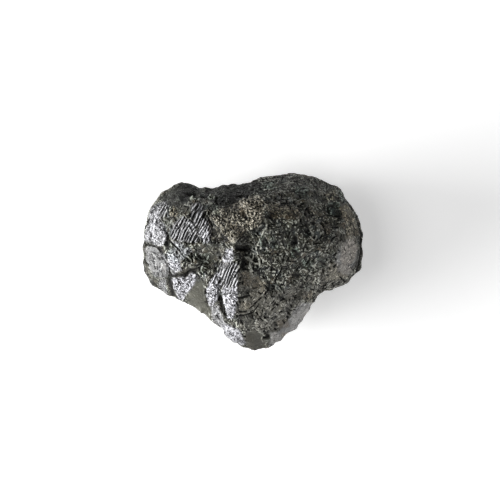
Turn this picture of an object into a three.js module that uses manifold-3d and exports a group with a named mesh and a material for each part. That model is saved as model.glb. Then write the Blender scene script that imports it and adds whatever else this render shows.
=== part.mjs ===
// A rough black diamond: one natural stone, lying on the flat cleavage face at its back.
//
// Millimetres, +Z up. The origin is the middle of the stone's footprint, on the surface it lies on.
// +X runs along its longest side and +Y towards its long, nearly straight upper edge.
//
// The form starts as a net of facet corners: the rim that shows as the outline from above, the corners
// of the domed front, and those of the flatter back. Its long edges are split, its creases are worn
// round and its skin is covered with intergrown crystal points. Crystal blocks then stand proud of it,
// and hollows, cracks, striations and pits are cut into it.

import * as THREE from 'three';
import { ConvexGeometry } from 'three/addons/geometries/ConvexGeometry.js';
import { ConvexHull } from 'three/addons/math/ConvexHull.js';
import { mergeVertices } from 'three/addons/utils/BufferGeometryUtils.js';
import Module from 'manifold-3d';

const wasm = await Module();
wasm.setup();

// ---------------------------------------------------------------- driving dimensions

const LONGEST_EDGE = 0.48; // of the skin's triangles
const SHORTEST_EDGE = 0.05; // of the finished stone's triangles, where one can be closed up
const WEAR_PASSES = 2; // how often the creases are rubbed down
const WEAR = 0.35; // how far each pass moves a corner towards its neighbours
const REST_BAND = 0.35; // the skin's relief fades out this close to the resting face
const SINK = 0.9; // how deep a crystal block is rooted in the stone
const FLAT_WIDTH = 2.2; // of the slabs that the broken flats are cut with
const CLEAR = 0.15; // how far a groove's cutter stands out of the surface
const SEED = 11;

// The stone's skin carries crystal points of these sizes: the spacing of the points and their height.
const POINTS = [
  { spacing: 1.15, height: 0.17 },
  { spacing: 0.55, height: 0.09 },
];

// The cube axes of the crystal: its octahedral points and pits all stand in this one orientation.
const CRYSTAL = new THREE.Quaternion().setFromEuler(new THREE.Euler(0.62, -0.35, 0.46));

// ---------------------------------------------------------------- facet corners

// The corners were placed by eye on the photograph, 500 units across and down, with a height in millimetres
// after each. These turn such a place into millimetres from the stone's middle.
const STONE_WIDTH = 8.6; // mm
const STONE_WIDTH_IN_PHOTO = 221;
const MIDDLE_IN_PHOTO = { across: 253, down: 261.5 };
const UNIT = STONE_WIDTH / STONE_WIDTH_IN_PHOTO;
const FINEST = 100; // places are kept to a hundredth of a millimetre
const toHundredth = (length) => Math.round(length * FINEST) / FINEST;
const inMillimetres = (across, down) => [
  (across - MIDDLE_IN_PHOTO.across) * UNIT,
  (MIDDLE_IN_PHOTO.down - down) * UNIT,
];
const placeOf = ([across, down, ...height]) => [...inMillimetres(across, down).map(toHundredth), ...height];
const placed = (places) => places.map(placeOf);

// The rim, clockwise from the left as seen from above: the stone's outline, about half way up.
const RIM_PLACES = [
  [142, 246, 2.2], [143, 236, 2.25], [147, 220, 2.3], [150, 210, 2.35], [155, 200, 2.4],
  [163, 192, 2.3], [171, 187, 2.25], [176, 183.5, 2.2], [183, 181.5, 2.2], [190, 184, 2.25],
  [196, 185.5, 2.3], [201, 188.5, 2.4], [206, 186, 2.3], [212, 187.5, 2.35], [222, 184.5, 2.3],
  [236, 183.5, 2.25], [248, 181.5, 2.2], [260, 176.5, 2.15], [275, 174.5, 2.1],
  [288, 172.7, 2.1], [302, 172.7, 2.15], [313, 176, 2.2], [321, 179.5, 2.2], [330, 184.5, 2.25],
  [343, 188, 2.3], [347, 200, 2.3], [354, 209, 2.25], [359, 219, 2.2], [362, 230, 2.15],
  [364, 243, 2.1], [364, 256, 2.1], [363, 268.5, 2.15], [357.5, 277.5, 2.2], [345, 284, 2.2],
  [335, 289, 2.25], [325, 292.5, 2.3], [317.5, 295.5, 2.35], [314.5, 304.5, 2.3],
  [310, 314, 2.25], [303.5, 322.5, 2.2], [297, 329, 2.15], [286, 337, 2.1], [277.5, 344, 2.1],
  [268, 350, 2.05], [257, 350, 2.05], [246, 349, 2.1], [238, 344.5, 2.15], [229, 339, 2.15],
  [222, 331, 2.2], [214, 321, 2.2], [206, 315, 2.2], [200, 312.5, 2.15], [190, 307.5, 2.15],
  [180, 301.5, 2.15], [169.5, 297, 2.1], [157.5, 293, 2.1], [149.5, 287, 2.1], [145, 277, 2.15],
  [143, 264, 2.2], [141.7, 255, 2.2],
];

// The rim isn't level. These waves round the stone lift and lower it: how many, how high, and how far turned.
const RIM_WAVES = [
  { count: 3, height: 0.26, turned: 0.7 },
  { count: 5, height: 0.14, turned: 2 },
  { count: 11, height: 0.06, turned: 0 },
];
const RIM_STEP = 0.05; // heights of the rim are kept to this
const RIM_OUTWARDS = 0.06; // wear draws the rim in, so it starts this far out
const RIM = RIM_PLACES.map(([across, down, height], i) => {
  const [x, y] = inMillimetres(across, down);
  const before = inMillimetres(...RIM_PLACES.at(i - 1).slice(0, 2));
  const after = inMillimetres(...RIM_PLACES[(i + 1) % RIM_PLACES.length].slice(0, 2));
  const along = [after[0] - before[0], after[1] - before[1]];
  const length = Math.hypot(...along);
  const round = Math.atan2(y, x);
  const lift = (sum, wave) => sum + wave.height * Math.sin(wave.count * round + wave.turned);
  const waves = RIM_WAVES.reduce(lift, 0);
  return [
    toHundredth(x - (along[1] / length) * RIM_OUTWARDS),
    toHundredth(y + (along[0] / length) * RIM_OUTWARDS),
    toHundredth(Math.round((height + waves) / RIM_STEP) * RIM_STEP),
  ];
});

// The upper left lobe: its dull cap, its silvery flank and the two striated faces.
const UPPER_LEFT = placed([
  [183, 190, 3.05], [172, 195, 3], [195, 194, 3.15], [163, 201, 3], [204, 196, 3.2],
  [170, 208, 3.65], [184, 206, 3.95], [197, 203, 4.05], [207, 208, 4.25], [153, 215, 2.95],
  [160, 212, 3.4], [148, 240, 2.8], [150, 226, 2.85], [158, 232, 3.3], [167, 221, 3.75],
  [166, 240, 3.6], [180, 220, 4.1], [192, 221, 4.35], [178, 240, 3.95], [191, 238, 4.25],
  [201, 229, 4.5], [208, 219, 4.6],
]);

// The lower left lobe, under the curved ledge, and the smooth facet beside it.
const LOWER_LEFT = placed([
  [148, 255, 2.85], [150, 270, 2.75], [156, 262, 3.2], [158, 279, 2.85], [164, 270, 3.3],
  [165, 285, 2.85], [162, 250, 3.35], [171, 255, 3.7], [181, 262, 3.9], [172, 273, 3.4],
  [184, 272, 3.65], [195, 265, 3.95], [170, 291, 2.65], [176, 292, 2.8], [183, 299, 2.65],
  [174, 281, 3.15], [188, 288, 3.2], [196, 280, 3.55], [206, 278, 3.8], [204, 298, 3.1],
  [197, 307, 2.65], [207, 310, 2.7], [203, 250, 4.3], [211, 262, 4.2],
]);

// The long ridge down the middle of the front, whose left side is its brightest.
const FRONT_RIDGE = placed([
  [219, 245, 4.5], [219, 270, 4.1], [213, 285, 3.85], [214, 303, 3.25], [220, 300, 3.55],
  [223, 285, 4.05], [235, 252, 4.7], [238, 263, 4.7], [238, 276, 4.65], [237, 291, 4.45],
  [237, 305, 4.15], [236, 318, 3.85], [241, 325, 3.65], [226, 312, 3.45], [226, 326, 3],
  [232, 334, 2.9], [238, 339, 2.8], [217, 318, 2.8], [225, 262, 4.4],
]);

// The foot: the wedge right of the ridge, with the flat facet at its end.
const FOOT = placed([
  [246, 331, 3.35], [261, 329, 3.4], [247, 344, 2.75], [262, 345, 2.75], [270, 339, 2.8],
  [251, 286, 4.5], [263, 281, 4.5], [251, 302, 4.25], [263, 306, 4.1], [256, 320, 3.75],
  [271, 322, 3.6], [276, 300, 4.1], [290, 290, 4.1], [285, 315, 3.55], [276, 333, 2.9],
  [288, 328, 2.8], [298, 315, 2.85], [303, 303, 2.95], [296, 299, 3.55], [308, 296, 3.2],
]);

// The large rounded lobe on the right.
const RIGHT_LOBE = placed([
  [285, 236, 4.92], [305, 241, 4.85], [270, 226, 4.98], [300, 216, 4.75], [320, 225, 4.55],
  [326, 250, 4.5], [340, 236, 3.95], [341, 258, 3.9], [353, 243, 3.2], [353, 260, 3.05],
  [350, 225, 3.3], [340, 210, 3.65], [345, 275, 2.9], [330, 278, 3.45], [316, 285, 3.45],
  [310, 268, 4.15], [290, 263, 4.6], [268, 262, 4.65], [335, 200, 3.35], [320, 194, 3.55],
  [325, 188, 2.9], [304, 183, 3.1], [285, 181, 3.1], [290, 193, 3.9], [308, 200, 4.1],
  [270, 189, 3.75], [262, 183, 3], [255, 195, 4.2],
]);

// The crown, where the bronze-coloured block stands.
const CROWN = placed([
  [216, 194, 3.4], [231, 194, 3.6], [244, 190, 3.4], [216, 205, 4.1], [231, 206, 4.35],
  [244, 201, 4.4], [222, 217, 4.65], [236, 216, 4.8], [250, 211, 4.85], [263, 206, 4.75],
  [226, 230, 4.75], [240, 229, 4.9], [256, 222, 4.98], [233, 242, 4.82], [249, 233, 4.9],
  [263, 238, 4.85], [250, 250, 4.75], [256, 268, 4.6],
]);

// The back: the flat cleavage face it lies on, and the facets round that.
const BACK = placed([
  [218, 232, 0], [250, 222, 0], [284, 226, 0], [300, 248, 0], [290, 276, 0], [262, 292, 0],
  [232, 288, 0], [212, 262, 0], [255, 255, 0], [185, 225, 0.55], [176, 250, 0.4],
  [186, 280, 0.5], [210, 298, 0.4], [238, 317, 0.55], [262, 318, 0.45], [286, 303, 0.35],
  [308, 281, 0.5], [329, 262, 0.55], [331, 232, 0.4], [318, 208, 0.5], [290, 199, 0.35],
  [262, 202, 0.45], [232, 206, 0.5], [205, 206, 0.6], [157, 212, 1.4], [151, 240, 1.15],
  [152, 268, 1.3], [166, 287, 1.1], [190, 302, 1.35], [212, 314, 1.2], [230, 334, 1.35],
  [250, 344, 1.1], [270, 341, 1.3], [290, 327, 1.15], [303, 309, 1.4], [321, 288, 1.3],
  [346, 277, 1.15], [358, 255, 1.35], [359, 232, 1.2], [350, 209, 1.4], [333, 192, 1.2],
  [310, 180, 1.3], [285, 178, 1.1], [262, 181, 1.3], [235, 188, 1.25], [210, 192, 1.45],
  [185, 188, 1.2], [168, 194, 1.4],
]);

// ---------------------------------------------------------------- crystal blocks, cracks and hollows

// The crystal blocks that stand proud of the skin: the corners of each one's outer faces.
const BLOCKS = [
  // the crown, its left half
  [
    [209, 220, 4.76], [222, 235, 4.88], [235, 247, 4.95], [239, 238, 5], [240, 222, 4.98],
    [233, 208, 4.7], [217, 206, 4.42],
  ],
  // the crown, its right half
  [
    [239, 204, 4.62], [251, 198, 4.55], [266, 200, 4.74], [271, 210, 4.94], [262, 226, 5.06],
    [248, 234, 5.04], [241, 224, 5],
  ],
  // the crystal behind the deep hollow
  [
    [262, 231, 5.06], [279, 226, 5.02], [284, 240, 4.98], [275, 250, 4.9], [263, 247, 4.88],
  ],
  // the long ridge, its steep face towards -X
  [
    [236, 250, 4.88], [239, 264, 4.85], [239, 278, 4.78], [238, 298, 4.4], [237, 311, 4.12],
    [236, 320, 3.92], [223, 264, 4.42], [222, 285, 4.15], [224, 305, 3.68], [227, 319, 3.38],
  ],
  // the short ridge beside it
  [
    [218, 271, 4.24], [219, 284, 4.06], [218, 297, 3.66], [216, 306, 3.42], [208, 280, 3.84],
    [207, 293, 3.48], [210, 305, 3.1],
  ],
  // the ledge over the lower left
  [
    [168, 254, 3.78], [183, 256, 4.02], [200, 260, 4.28], [203, 264, 4.2], [190, 271.5, 3.98],
    [176, 275, 3.62], [169, 272, 3.46],
  ],
  // the bright facet under that ledge
  [
    [173, 280, 3.24], [184, 278, 3.56], [198, 275, 3.76], [194, 284, 3.46], [186, 292, 3.14],
    [178, 293, 2.94], [173.5, 287, 3.04],
  ],
  // the smooth facet by the lower left edge
  [
    [200, 279, 3.7], [207, 283, 3.74], [208, 296, 3.3], [205, 305, 2.92], [198, 303, 2.84],
    [190, 298, 2.86], [190, 290, 3.16],
  ],
  // the block at the lower left of the foot
  [
    [229, 326, 3.14], [236, 326, 3.4], [245, 329, 3.46], [245, 339, 3], [239, 339, 2.86],
    [231, 334, 2.84],
  ],
  // the plate on the right flank
  [
    [333, 232, 4.12], [346, 238, 3.66], [350, 251, 3.42], [346, 264, 3.34], [335, 271, 3.56],
    [327, 254, 4.2],
  ],
  // the block under the upper edge
  [
    [214, 192, 3.42], [230, 191, 3.52], [238, 196, 3.86], [229, 203, 4.2], [213, 203, 4],
  ],
  // the block at the lower right of the foot
  [
    [283, 304, 3.96], [297, 299, 3.6], [304, 301, 3.24], [300, 311, 3.06], [289, 321, 3.2],
    [281, 318, 3.6],
  ],
  // the silvery flank of the left lobe
  [
    [151, 224, 3.02], [158, 226, 3.4], [166, 233, 3.76], [165, 243, 3.68], [160, 246, 3.4],
    [151, 238, 2.92],
  ],
].map(placed);

// The cracks and grooves, each along a line as seen from above.
const CRACKS = [
  // from the left edge
  { width: 0.17, depth: 0.2, along: placed([[147, 242.5], [152, 245], [160, 247], [165, 253]]) },
  { width: 0.08, depth: 0.09, along: placed([[170, 241], [178, 248], [187, 258]]) },
  // between the striated faces
  { width: 0.13, depth: 0.16, along: placed([[188, 222], [197, 233], [203, 240], [205, 248]]) },
  // beside the bright facet
  { width: 0.22, depth: 0.17, along: placed([[169, 277], [169.5, 287], [171.5, 290]]) },
  // between the two ridges
  { width: 0.18, depth: 0.22, along: placed([[220, 280], [220, 297], [223, 314]]) },
  // under the crown
  { width: 0.14, depth: 0.18, along: placed([[206, 218], [220, 234], [236, 250]]) },
  { width: 0.09, depth: 0.13, along: placed([[263, 224], [261, 240], [266, 251], [264, 263], [268, 276]]) },
  { width: 0.1, depth: 0.12, along: placed([[304, 206], [300, 222], [293, 240]]) },
  { width: 0.09, depth: 0.12, along: placed([[239, 283], [252, 277], [268, 281], [276, 291]]) },
  { width: 0.08, depth: 0.1, along: placed([[240, 308], [254, 313], [270, 309]]) },
  { width: 0.12, depth: 0.14, along: placed([[318, 262], [322, 276], [319, 284], [317, 291]]) },
  { width: 0.1, depth: 0.12, along: placed([[275, 196], [288, 203], [300, 202], [314, 208]]) },
];

// The directions that details are placed from: what is to the right, what is up, and the way out.
const ABOVE = { right: new THREE.Vector3(1, 0, 0), up: new THREE.Vector3(0, 1, 0) };
const FRONT_SIDE = { right: new THREE.Vector3(1, 0, 0), up: new THREE.Vector3(0, 0, 1) };
const BACK_SIDE = { right: new THREE.Vector3(-1, 0, 0), up: new THREE.Vector3(0, 0, 1) };
const LEFT_SIDE = { right: new THREE.Vector3(0, -1, 0), up: new THREE.Vector3(0, 0, 1) };
const RIGHT_SIDE = { right: new THREE.Vector3(0, 1, 0), up: new THREE.Vector3(0, 0, 1) };

// The striated faces: sets of parallel grooves, turned this many degrees from the right.
const STRIATIONS = [
  { from: ABOVE, at: placeOf([163, 213]), turn: 62, length: 0.51, grooves: 4, spacing: 0.12 },
  { from: ABOVE, at: placeOf([189, 229]), turn: 63, length: 0.66, grooves: 8, spacing: 0.11 },
  { from: ABOVE, at: placeOf([197, 213]), turn: 62, length: 0.51, grooves: 4, spacing: 0.12 },
  { from: ABOVE, at: placeOf([207, 223]), turn: 58, length: 0.47, grooves: 4, spacing: 0.12 },
  { from: ABOVE, at: placeOf([229, 272]), turn: 70, length: 0.58, grooves: 6, spacing: 0.10 },
  { from: ABOVE, at: placeOf([236, 262]), turn: 66, length: 0.35, grooves: 2, spacing: 0.10 },
  { from: FRONT_SIDE, at: [0.10, 1.55], turn: 96, length: 0.7, grooves: 6, spacing: 0.13 },
  { from: LEFT_SIDE, at: [-0.55, 1.75], turn: 74, length: 0.7, grooves: 6, spacing: 0.13 },
  { from: BACK_SIDE, at: [-1.70, 2.20], turn: 112, length: 0.8, grooves: 7, spacing: 0.14 },
  { from: RIGHT_SIDE, at: [0.60, 1.90], turn: 65, length: 0.7, grooves: 6, spacing: 0.13 },
];

// Shallow shell-shaped hollows: where they are as seen from above, how wide and how deep.
const SHELLS = [
  { at: [-1.56, -0.14], across: 0.68, depth: 0.16 },
  { at: [-0.12, -0.94], across: 1.05, depth: 0.15 },
  { at: [0.04, -1.60], across: 0.9, depth: 0.12 },
  { at: [2.06, 1.20], across: 0.9, depth: 0.13 },
  { at: [1.30, -1.97], across: 0.42, depth: 0.12 },
  { at: [2.55, 0.90], across: 0.9, depth: 0.1 },
];

// The deep hollow below the crown: its edge, and the two lowest points of its floor.
const HOLLOW_EDGE = [
  [-0.62, 0.47], [-0.16, 1.09], [0.18, 0.84], [0.37, 0.25], [0.18, -0.31], [-0.37, -0.39], [-0.60, -0.02],
];
const HOLLOW_FLOOR = [[-0.23, 0.49, 4.36], [0.02, 0.12, 4.42]];

// The octahedral pits and crystals scattered over the whole stone, and how deep they are sunk in it as
// a share of their size.
const PITS = { count: 48, smallest: 0.16, largest: 0.42, sunk: 0.1 };
const LUMPS = { count: 56, smallest: 0.3, largest: 0.95, sunk: 0.72 };

// The flats broken off its sides and its back: which way each lies from the core, and its depth.
const FLATS = [
  { towards: [1, 0.1, -0.5], depth: 0.12 },
  { towards: [0.7, 0.7, 0.45], depth: 0.08 },
  { towards: [0.1, 1, -0.6], depth: 0.16 },
  { towards: [-0.75, 0.7, -0.5], depth: 0.14 },
  { towards: [-1, -0.05, -0.5], depth: 0.12 },
  { towards: [-0.85, -0.42, -0.6], depth: 0.12 },
  { towards: [-0.15, -1, -0.55], depth: 0.12 },
  { towards: [0.45, -0.9, -0.6], depth: 0.1 },
  { towards: [0.92, -0.3, -0.6], depth: 0.14 },
  { towards: [0.8, 0.4, -0.7], depth: 0.14 },
  { towards: [-0.3, 0.8, 0.45], depth: 0.1 },
  { towards: [0.45, 0.75, -0.75], depth: 0.14 },
];

// ---------------------------------------------------------------- the net and its skin

const FRONT = [...UPPER_LEFT, ...LOWER_LEFT, ...FRONT_RIDGE, ...FOOT, ...RIGHT_LOBE, ...CROWN];

// How far the rim is from the Z axis in the direction of (x, y).
function rimRadius(x, y) {
  const ray = new THREE.Vector2(x, y).normalize();
  let radius = 0;
  RIM.forEach(([ax, ay], i) => {
    const [bx, by] = RIM[(i + 1) % RIM.length];
    const across = ray.x * (by - ay) - ray.y * (bx - ax);
    const along = (ax * (by - ay) - ay * (bx - ax)) / across;
    const share = (ax * ray.y - ay * ray.x) / across;
    if (along > 0 && share >= 0 && share <= 1) radius = Math.max(radius, along);
  });
  return radius;
}

// The net's corners joined up: each is sent to a unit sphere, the rim to its equator, and the sphere's
// convex hull says which three make a facet.
function netFacets(corners) {
  const onSphere = corners.map(({ at, side }) => {
    const share = side === 0 ? 1 : Math.hypot(at.x, at.y) / rimRadius(at.x, at.y);
    const turn = Math.atan2(at.y, at.x);
    return new THREE.Vector3(
      share * Math.cos(turn), share * Math.sin(turn), side * Math.sqrt(Math.max(0, 1 - share * share)),
    );
  });
  const place = new Map(onSphere.map((point, i) => [point, i]));
  return new ConvexHull().setFromPoints(onSphere).faces.map((face) => {
    const edge = face.edge;
    return [edge, edge.next, edge.next.next].map((e) => place.get(e.head().point));
  });
}

// Splits every edge longer than the limit at its middle, until none is left.
function splitLongEdges(points, facets, limit) {
  for (;;) {
    const middles = new Map();
    const middle = (a, b) => {
      if (points[a].distanceTo(points[b]) <= limit) return -1;
      const key = a < b ? `${a},${b}` : `${b},${a}`;
      if (!middles.has(key)) {
        points.push(points[a].clone().add(points[b]).multiplyScalar(0.5));
        middles.set(key, points.length - 1);
      }
      return middles.get(key);
    };
    const next = [];
    for (const [a, b, c] of facets) {
      const corner = [a, b, c];
      const mid = [middle(a, b), middle(b, c), middle(c, a)];
      const split = mid.filter((m) => m >= 0).length;
      if (split === 3) {
        next.push([a, mid[0], mid[2]], [mid[0], b, mid[1]], [mid[2], mid[1], c], mid);
        continue;
      }
      if (split === 0) {
        next.push(corner);
        continue;
      }
      // Turned so that the first edge is split, and with two split the last is the whole one.
      let first = mid.findIndex((m) => m >= 0);
      if (split === 2 && first === 0 && mid[2] >= 0) first = 2;
      const [p, q, r] = [0, 1, 2].map((k) => corner[(first + k) % 3]);
      const [m, n] = [mid[first], mid[(first + 1) % 3]];
      if (split === 1) next.push([p, m, r], [m, q, r]);
      else next.push([m, q, n], [p, m, n], [p, n, r]);
    }
    if (middles.size === 0) return facets;
    facets = next;
  }
}

function geometryOf(points, facets) {
  const geometry = new THREE.BufferGeometry().setFromPoints(points);
  geometry.setIndex(facets.flat());
  geometry.computeVertexNormals();
  return geometry;
}

// Moves each corner towards the middle of its neighbours, which rounds the creases.
function wear(points, facets) {
  const sums = points.map(() => ({ total: new THREE.Vector3(), count: 0 }));
  for (const [a, b, c] of facets) {
    for (const [from, to] of [[a, b], [b, c], [c, a]]) {
      sums[from].total.add(points[to]);
      sums[from].count += 1;
    }
  }
  points.forEach((point, i) => {
    const onRest = point.z < 1e-6;
    if (!onRest) point.lerp(sums[i].total.divideScalar(sums[i].count), WEAR);
  });
}

// A number from 0 to 1 that belongs to a cell of space.
function cellRandom(i, j, k, salt) {
  let n = Math.imul(i, 374761393) ^ Math.imul(j, 668265263) ^ Math.imul(k, 2147483647 ^ salt);
  n = Math.imul(n ^ (n >>> 13) ^ Math.imul(salt + SEED, 1274126177), 1103515245);
  n = Math.imul(n ^ (n >>> 15), 2246822519);
  return ((n ^ (n >>> 16)) >>> 0) / 2 ** 32;
}

// The relief of intergrown crystal points: 1 on a point and about 0 between points. The distance is
// an octahedron's, so each point has the flat sides of an octahedron.
function crystalPoints(point, spacing, salt) {
  const p = point.clone().applyQuaternion(CRYSTAL).divideScalar(spacing);
  const [ci, cj, ck] = [Math.floor(p.x), Math.floor(p.y), Math.floor(p.z)];
  let nearest = Infinity;
  for (let i = ci - 1; i <= ci + 1; i++) {
    for (let j = cj - 1; j <= cj + 1; j++) {
      for (let k = ck - 1; k <= ck + 1; k++) {
        const distance = Math.abs(p.x - i - cellRandom(i, j, k, salt))
          + Math.abs(p.y - j - cellRandom(i, j, k, salt + 1))
          + Math.abs(p.z - k - cellRandom(i, j, k, salt + 2));
        nearest = Math.min(nearest, distance);
      }
    }
  }
  return 1 - nearest;
}

function stoneSkin() {
  const corners = [
    ...RIM.map((xyz) => ({ at: new THREE.Vector3(...xyz), side: 0 })),
    ...FRONT.map((xyz) => ({ at: new THREE.Vector3(...xyz), side: 1 })),
    ...BACK.map((xyz) => ({ at: new THREE.Vector3(...xyz), side: -1 })),
  ];
  const points = corners.map((corner) => corner.at);
  const facets = splitLongEdges(points, netFacets(corners), LONGEST_EDGE);
  for (let pass = 0; pass < WEAR_PASSES; pass++) wear(points, facets);

  const normals = geometryOf(points, facets).getAttribute('normal');
  points.forEach((point, i) => {
    const shown = THREE.MathUtils.smoothstep(point.z, 0, REST_BAND);
    let rise = 0;
    POINTS.forEach(({ spacing, height }, n) => {
      rise += height * (crystalPoints(point, spacing, 7 * n) - 0.45);
    });
    point.addScaledVector(new THREE.Vector3().fromBufferAttribute(normals, i), rise * shown);
  });
  return geometryOf(points, facets);
}

// ---------------------------------------------------------------- joining and cutting

function solidOf(geometry) {
  const bare = geometry.clone();
  bare.deleteAttribute('normal');
  bare.deleteAttribute('uv');
  const welded = mergeVertices(bare, 1e-5);
  return new wasm.Manifold(new wasm.Mesh({
    numProp: 3,
    vertProperties: new Float32Array(welded.attributes.position.array),
    triVerts: new Uint32Array(welded.index.array),
  }));
}

function geometryFrom(solid) {
  const { vertProperties, triVerts } = solid.getMesh();
  const geometry = new THREE.BufferGeometry();
  geometry.setAttribute('position', new THREE.BufferAttribute(new Float32Array(vertProperties), 3));
  geometry.setIndex(new THREE.BufferAttribute(new Uint32Array(triVerts), 1));
  return geometry;
}

const hull = (points) => solidOf(new ConvexGeometry(points));

// ---------------------------------------------------------------- finding the surface

const CORE = new THREE.Vector3(0, 0, 2.3);

// A mesh to look for the surface on, from outside.
const targetOf = (solid) => new THREE.Mesh(geometryFrom(solid), new THREE.MeshBasicMaterial());

function firstHit(target, origin, direction) {
  const hits = new THREE.Raycaster(origin, direction).intersectObject(target);
  return { point: hits[0].point, out: hits[0].face.normal.clone() };
}

// The surface at (u, v) as seen from one side of the stone.
function seenFrom(target, side, u, v) {
  const towards = new THREE.Vector3().crossVectors(side.right, side.up);
  const origin = new THREE.Vector3()
    .addScaledVector(side.right, u)
    .addScaledVector(side.up, v)
    .addScaledVector(towards, 20);
  return firstHit(target, origin, towards.negate());
}

// ---------------------------------------------------------------- blocks, cracks and hollows

// A block rooted in the stone: its outer corners, and the same ones moved in towards the core.
function rootedBlock(corners) {
  const outer = corners.map((xyz) => new THREE.Vector3(...xyz));
  const roots = outer.map((corner) => {
    const inward = CORE.clone().sub(corner).normalize();
    return corner.clone().addScaledVector(inward, SINK);
  });
  return hull([...outer, ...roots]);
}

// One straight length of a V-shaped groove, open at the surface.
function groove(start, end, out, width, depth) {
  const along = end.clone().sub(start).normalize();
  const across = new THREE.Vector3().crossVectors(along, out).normalize();
  const half = (width / 2) * (1 + CLEAR / depth);
  const corners = [];
  for (const at of [start, end]) {
    corners.push(at.clone().addScaledVector(out, -depth));
    corners.push(at.clone().addScaledVector(out, CLEAR).addScaledVector(across, half));
    corners.push(at.clone().addScaledVector(out, CLEAR).addScaledVector(across, -half));
  }
  return hull(corners);
}

function crackCuts(target, { width, depth, along }) {
  const path = along.map(([x, y]) => seenFrom(target, ABOVE, x, y));
  return path.slice(1).map((next, i) => {
    const out = path[i].out.clone().add(next.out).normalize();
    return groove(path[i].point, next.point, out, width, depth);
  });
}

function striationCuts(target, { from, at, turn, length, grooves, spacing }, salt) {
  const angle = THREE.MathUtils.degToRad(turn);
  const [ax, ay] = [Math.cos(angle), Math.sin(angle)];
  const cuts = [];
  for (let n = 0; n < grooves; n++) {
    const aside = (n - (grooves - 1) / 2) * spacing;
    const reach = (length / 2) * (0.7 + 0.45 * cellRandom(n, 1, 0, salt));
    const shift = length * 0.3 * (cellRandom(n, 2, 0, salt) - 0.5);
    const [u, v] = [at[0] + aside * ay + shift * ax, at[1] - aside * ax + shift * ay];
    const start = seenFrom(target, from, u - reach * ax, v - reach * ay);
    const end = seenFrom(target, from, u + reach * ax, v + reach * ay);
    const out = seenFrom(target, from, u, v).out.add(start.out).add(end.out).normalize();
    cuts.push(groove(start.point, end.point, out, spacing * 0.62, spacing * 0.55));
  }
  return cuts;
}

// A ball whose lowest part dips below the surface.
function shellCut(target, { at, across, depth }) {
  const radius = (across * across) / (8 * depth) + depth / 2;
  const { point, out } = seenFrom(target, ABOVE, ...at);
  const ball = new THREE.IcosahedronGeometry(radius, 5);
  ball.translate(...point.addScaledVector(out, radius - depth));
  return solidOf(ball);
}

function deepHollow(target) {
  const middle = new THREE.Vector2();
  HOLLOW_EDGE.forEach(([x, y]) => middle.add(new THREE.Vector2(x, y)));
  middle.divideScalar(HOLLOW_EDGE.length);
  const opening = HOLLOW_EDGE.map(([x, y]) => {
    const { point } = seenFrom(target, ABOVE, x, y);
    const outward = new THREE.Vector2(x, y).sub(middle);
    return new THREE.Vector3(x + outward.x * 0.5, y + outward.y * 0.5, point.z + 0.3);
  });
  return hull([...opening, ...HOLLOW_FLOOR.map((xyz) => new THREE.Vector3(...xyz))]);
}

// Octahedra in the crystal's orientation, at evenly spread places all over the stone.
function scattered(target, { count, smallest, largest, sunk }, salt) {
  const found = [];
  for (let n = 0; n < count; n++) {
    const height = 1 - (2 * (n + 0.5)) / count;
    const turn = n * 2.399963 + salt;
    const flat = Math.sqrt(1 - height * height);
    const direction = new THREE.Vector3(flat * Math.cos(turn), flat * Math.sin(turn), height);
    const { point, out } = firstHit(target, CORE.clone().addScaledVector(direction, 20), direction.negate());
    if (point.z < 2 * REST_BAND) continue;
    const size = smallest + (largest - smallest) * cellRandom(n, 3, 0, salt) ** 2;
    const octahedron = new THREE.OctahedronGeometry(size, 0);
    octahedron.scale(0.7 + 0.6 * cellRandom(n, 4, 0, salt), 0.7 + 0.6 * cellRandom(n, 5, 0, salt), 1);
    octahedron.applyQuaternion(CRYSTAL.clone().invert());
    octahedron.translate(...point.addScaledVector(out, -size * sunk));
    found.push(solidOf(octahedron));
  }
  return found;
}

// A slab that shaves a flat of this depth where the surface lies that way from the core.
function flatCut(target, { towards, depth }) {
  const direction = new THREE.Vector3(...towards).normalize();
  const { point, out } = firstHit(target, CORE.clone().addScaledVector(direction, 20), direction.negate());
  const slab = new THREE.BoxGeometry(FLAT_WIDTH, FLAT_WIDTH, 1);
  slab.translate(0, 0, 0.5 - depth);
  slab.applyQuaternion(new THREE.Quaternion().setFromUnitVectors(new THREE.Vector3(0, 0, 1), out));
  slab.translate(...point);
  return solidOf(slab);
}

const joined = (solids) => solids.reduce((whole, solid) => whole.add(solid));

function stoneSolid() {
  let stone = solidOf(stoneSkin());
  stone = stone.add(joined(scattered(targetOf(stone), LUMPS, 1)));
  stone = stone.subtract(joined(FLATS.map((flat) => flatCut(targetOf(stone), flat))));
  stone = stone.add(joined(BLOCKS.map(rootedBlock)));

  const target = targetOf(stone);
  const cuts = [
    deepHollow(target),
    ...SHELLS.map((shell) => shellCut(target, shell)),
    ...CRACKS.flatMap((crack) => crackCuts(target, crack)),
    ...STRIATIONS.flatMap((face, n) => striationCuts(target, face, n)),
    ...scattered(target, PITS, 2),
  ];
  return stone.subtract(joined(cuts));
}

// ---------------------------------------------------------------- cleaning up after the cuts

// The stone itself, without any chip that the cuts have freed from it.
function largestBody(points, facets) {
  const group = points.map((_, i) => i);
  const find = (i) => {
    while (group[i] !== i) {
      group[i] = group[group[i]];
      i = group[i];
    }
    return i;
  };
  for (const [a, b, c] of facets) {
    group[find(a)] = find(b);
    group[find(b)] = find(c);
  }
  const sizes = new Map();
  for (const [a] of facets) sizes.set(find(a), (sizes.get(find(a)) ?? 0) + 1);
  const [largest] = [...sizes].sort((a, b) => b[1] - a[1])[0];
  return facets.filter(([a]) => find(a) === largest);
}

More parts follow.
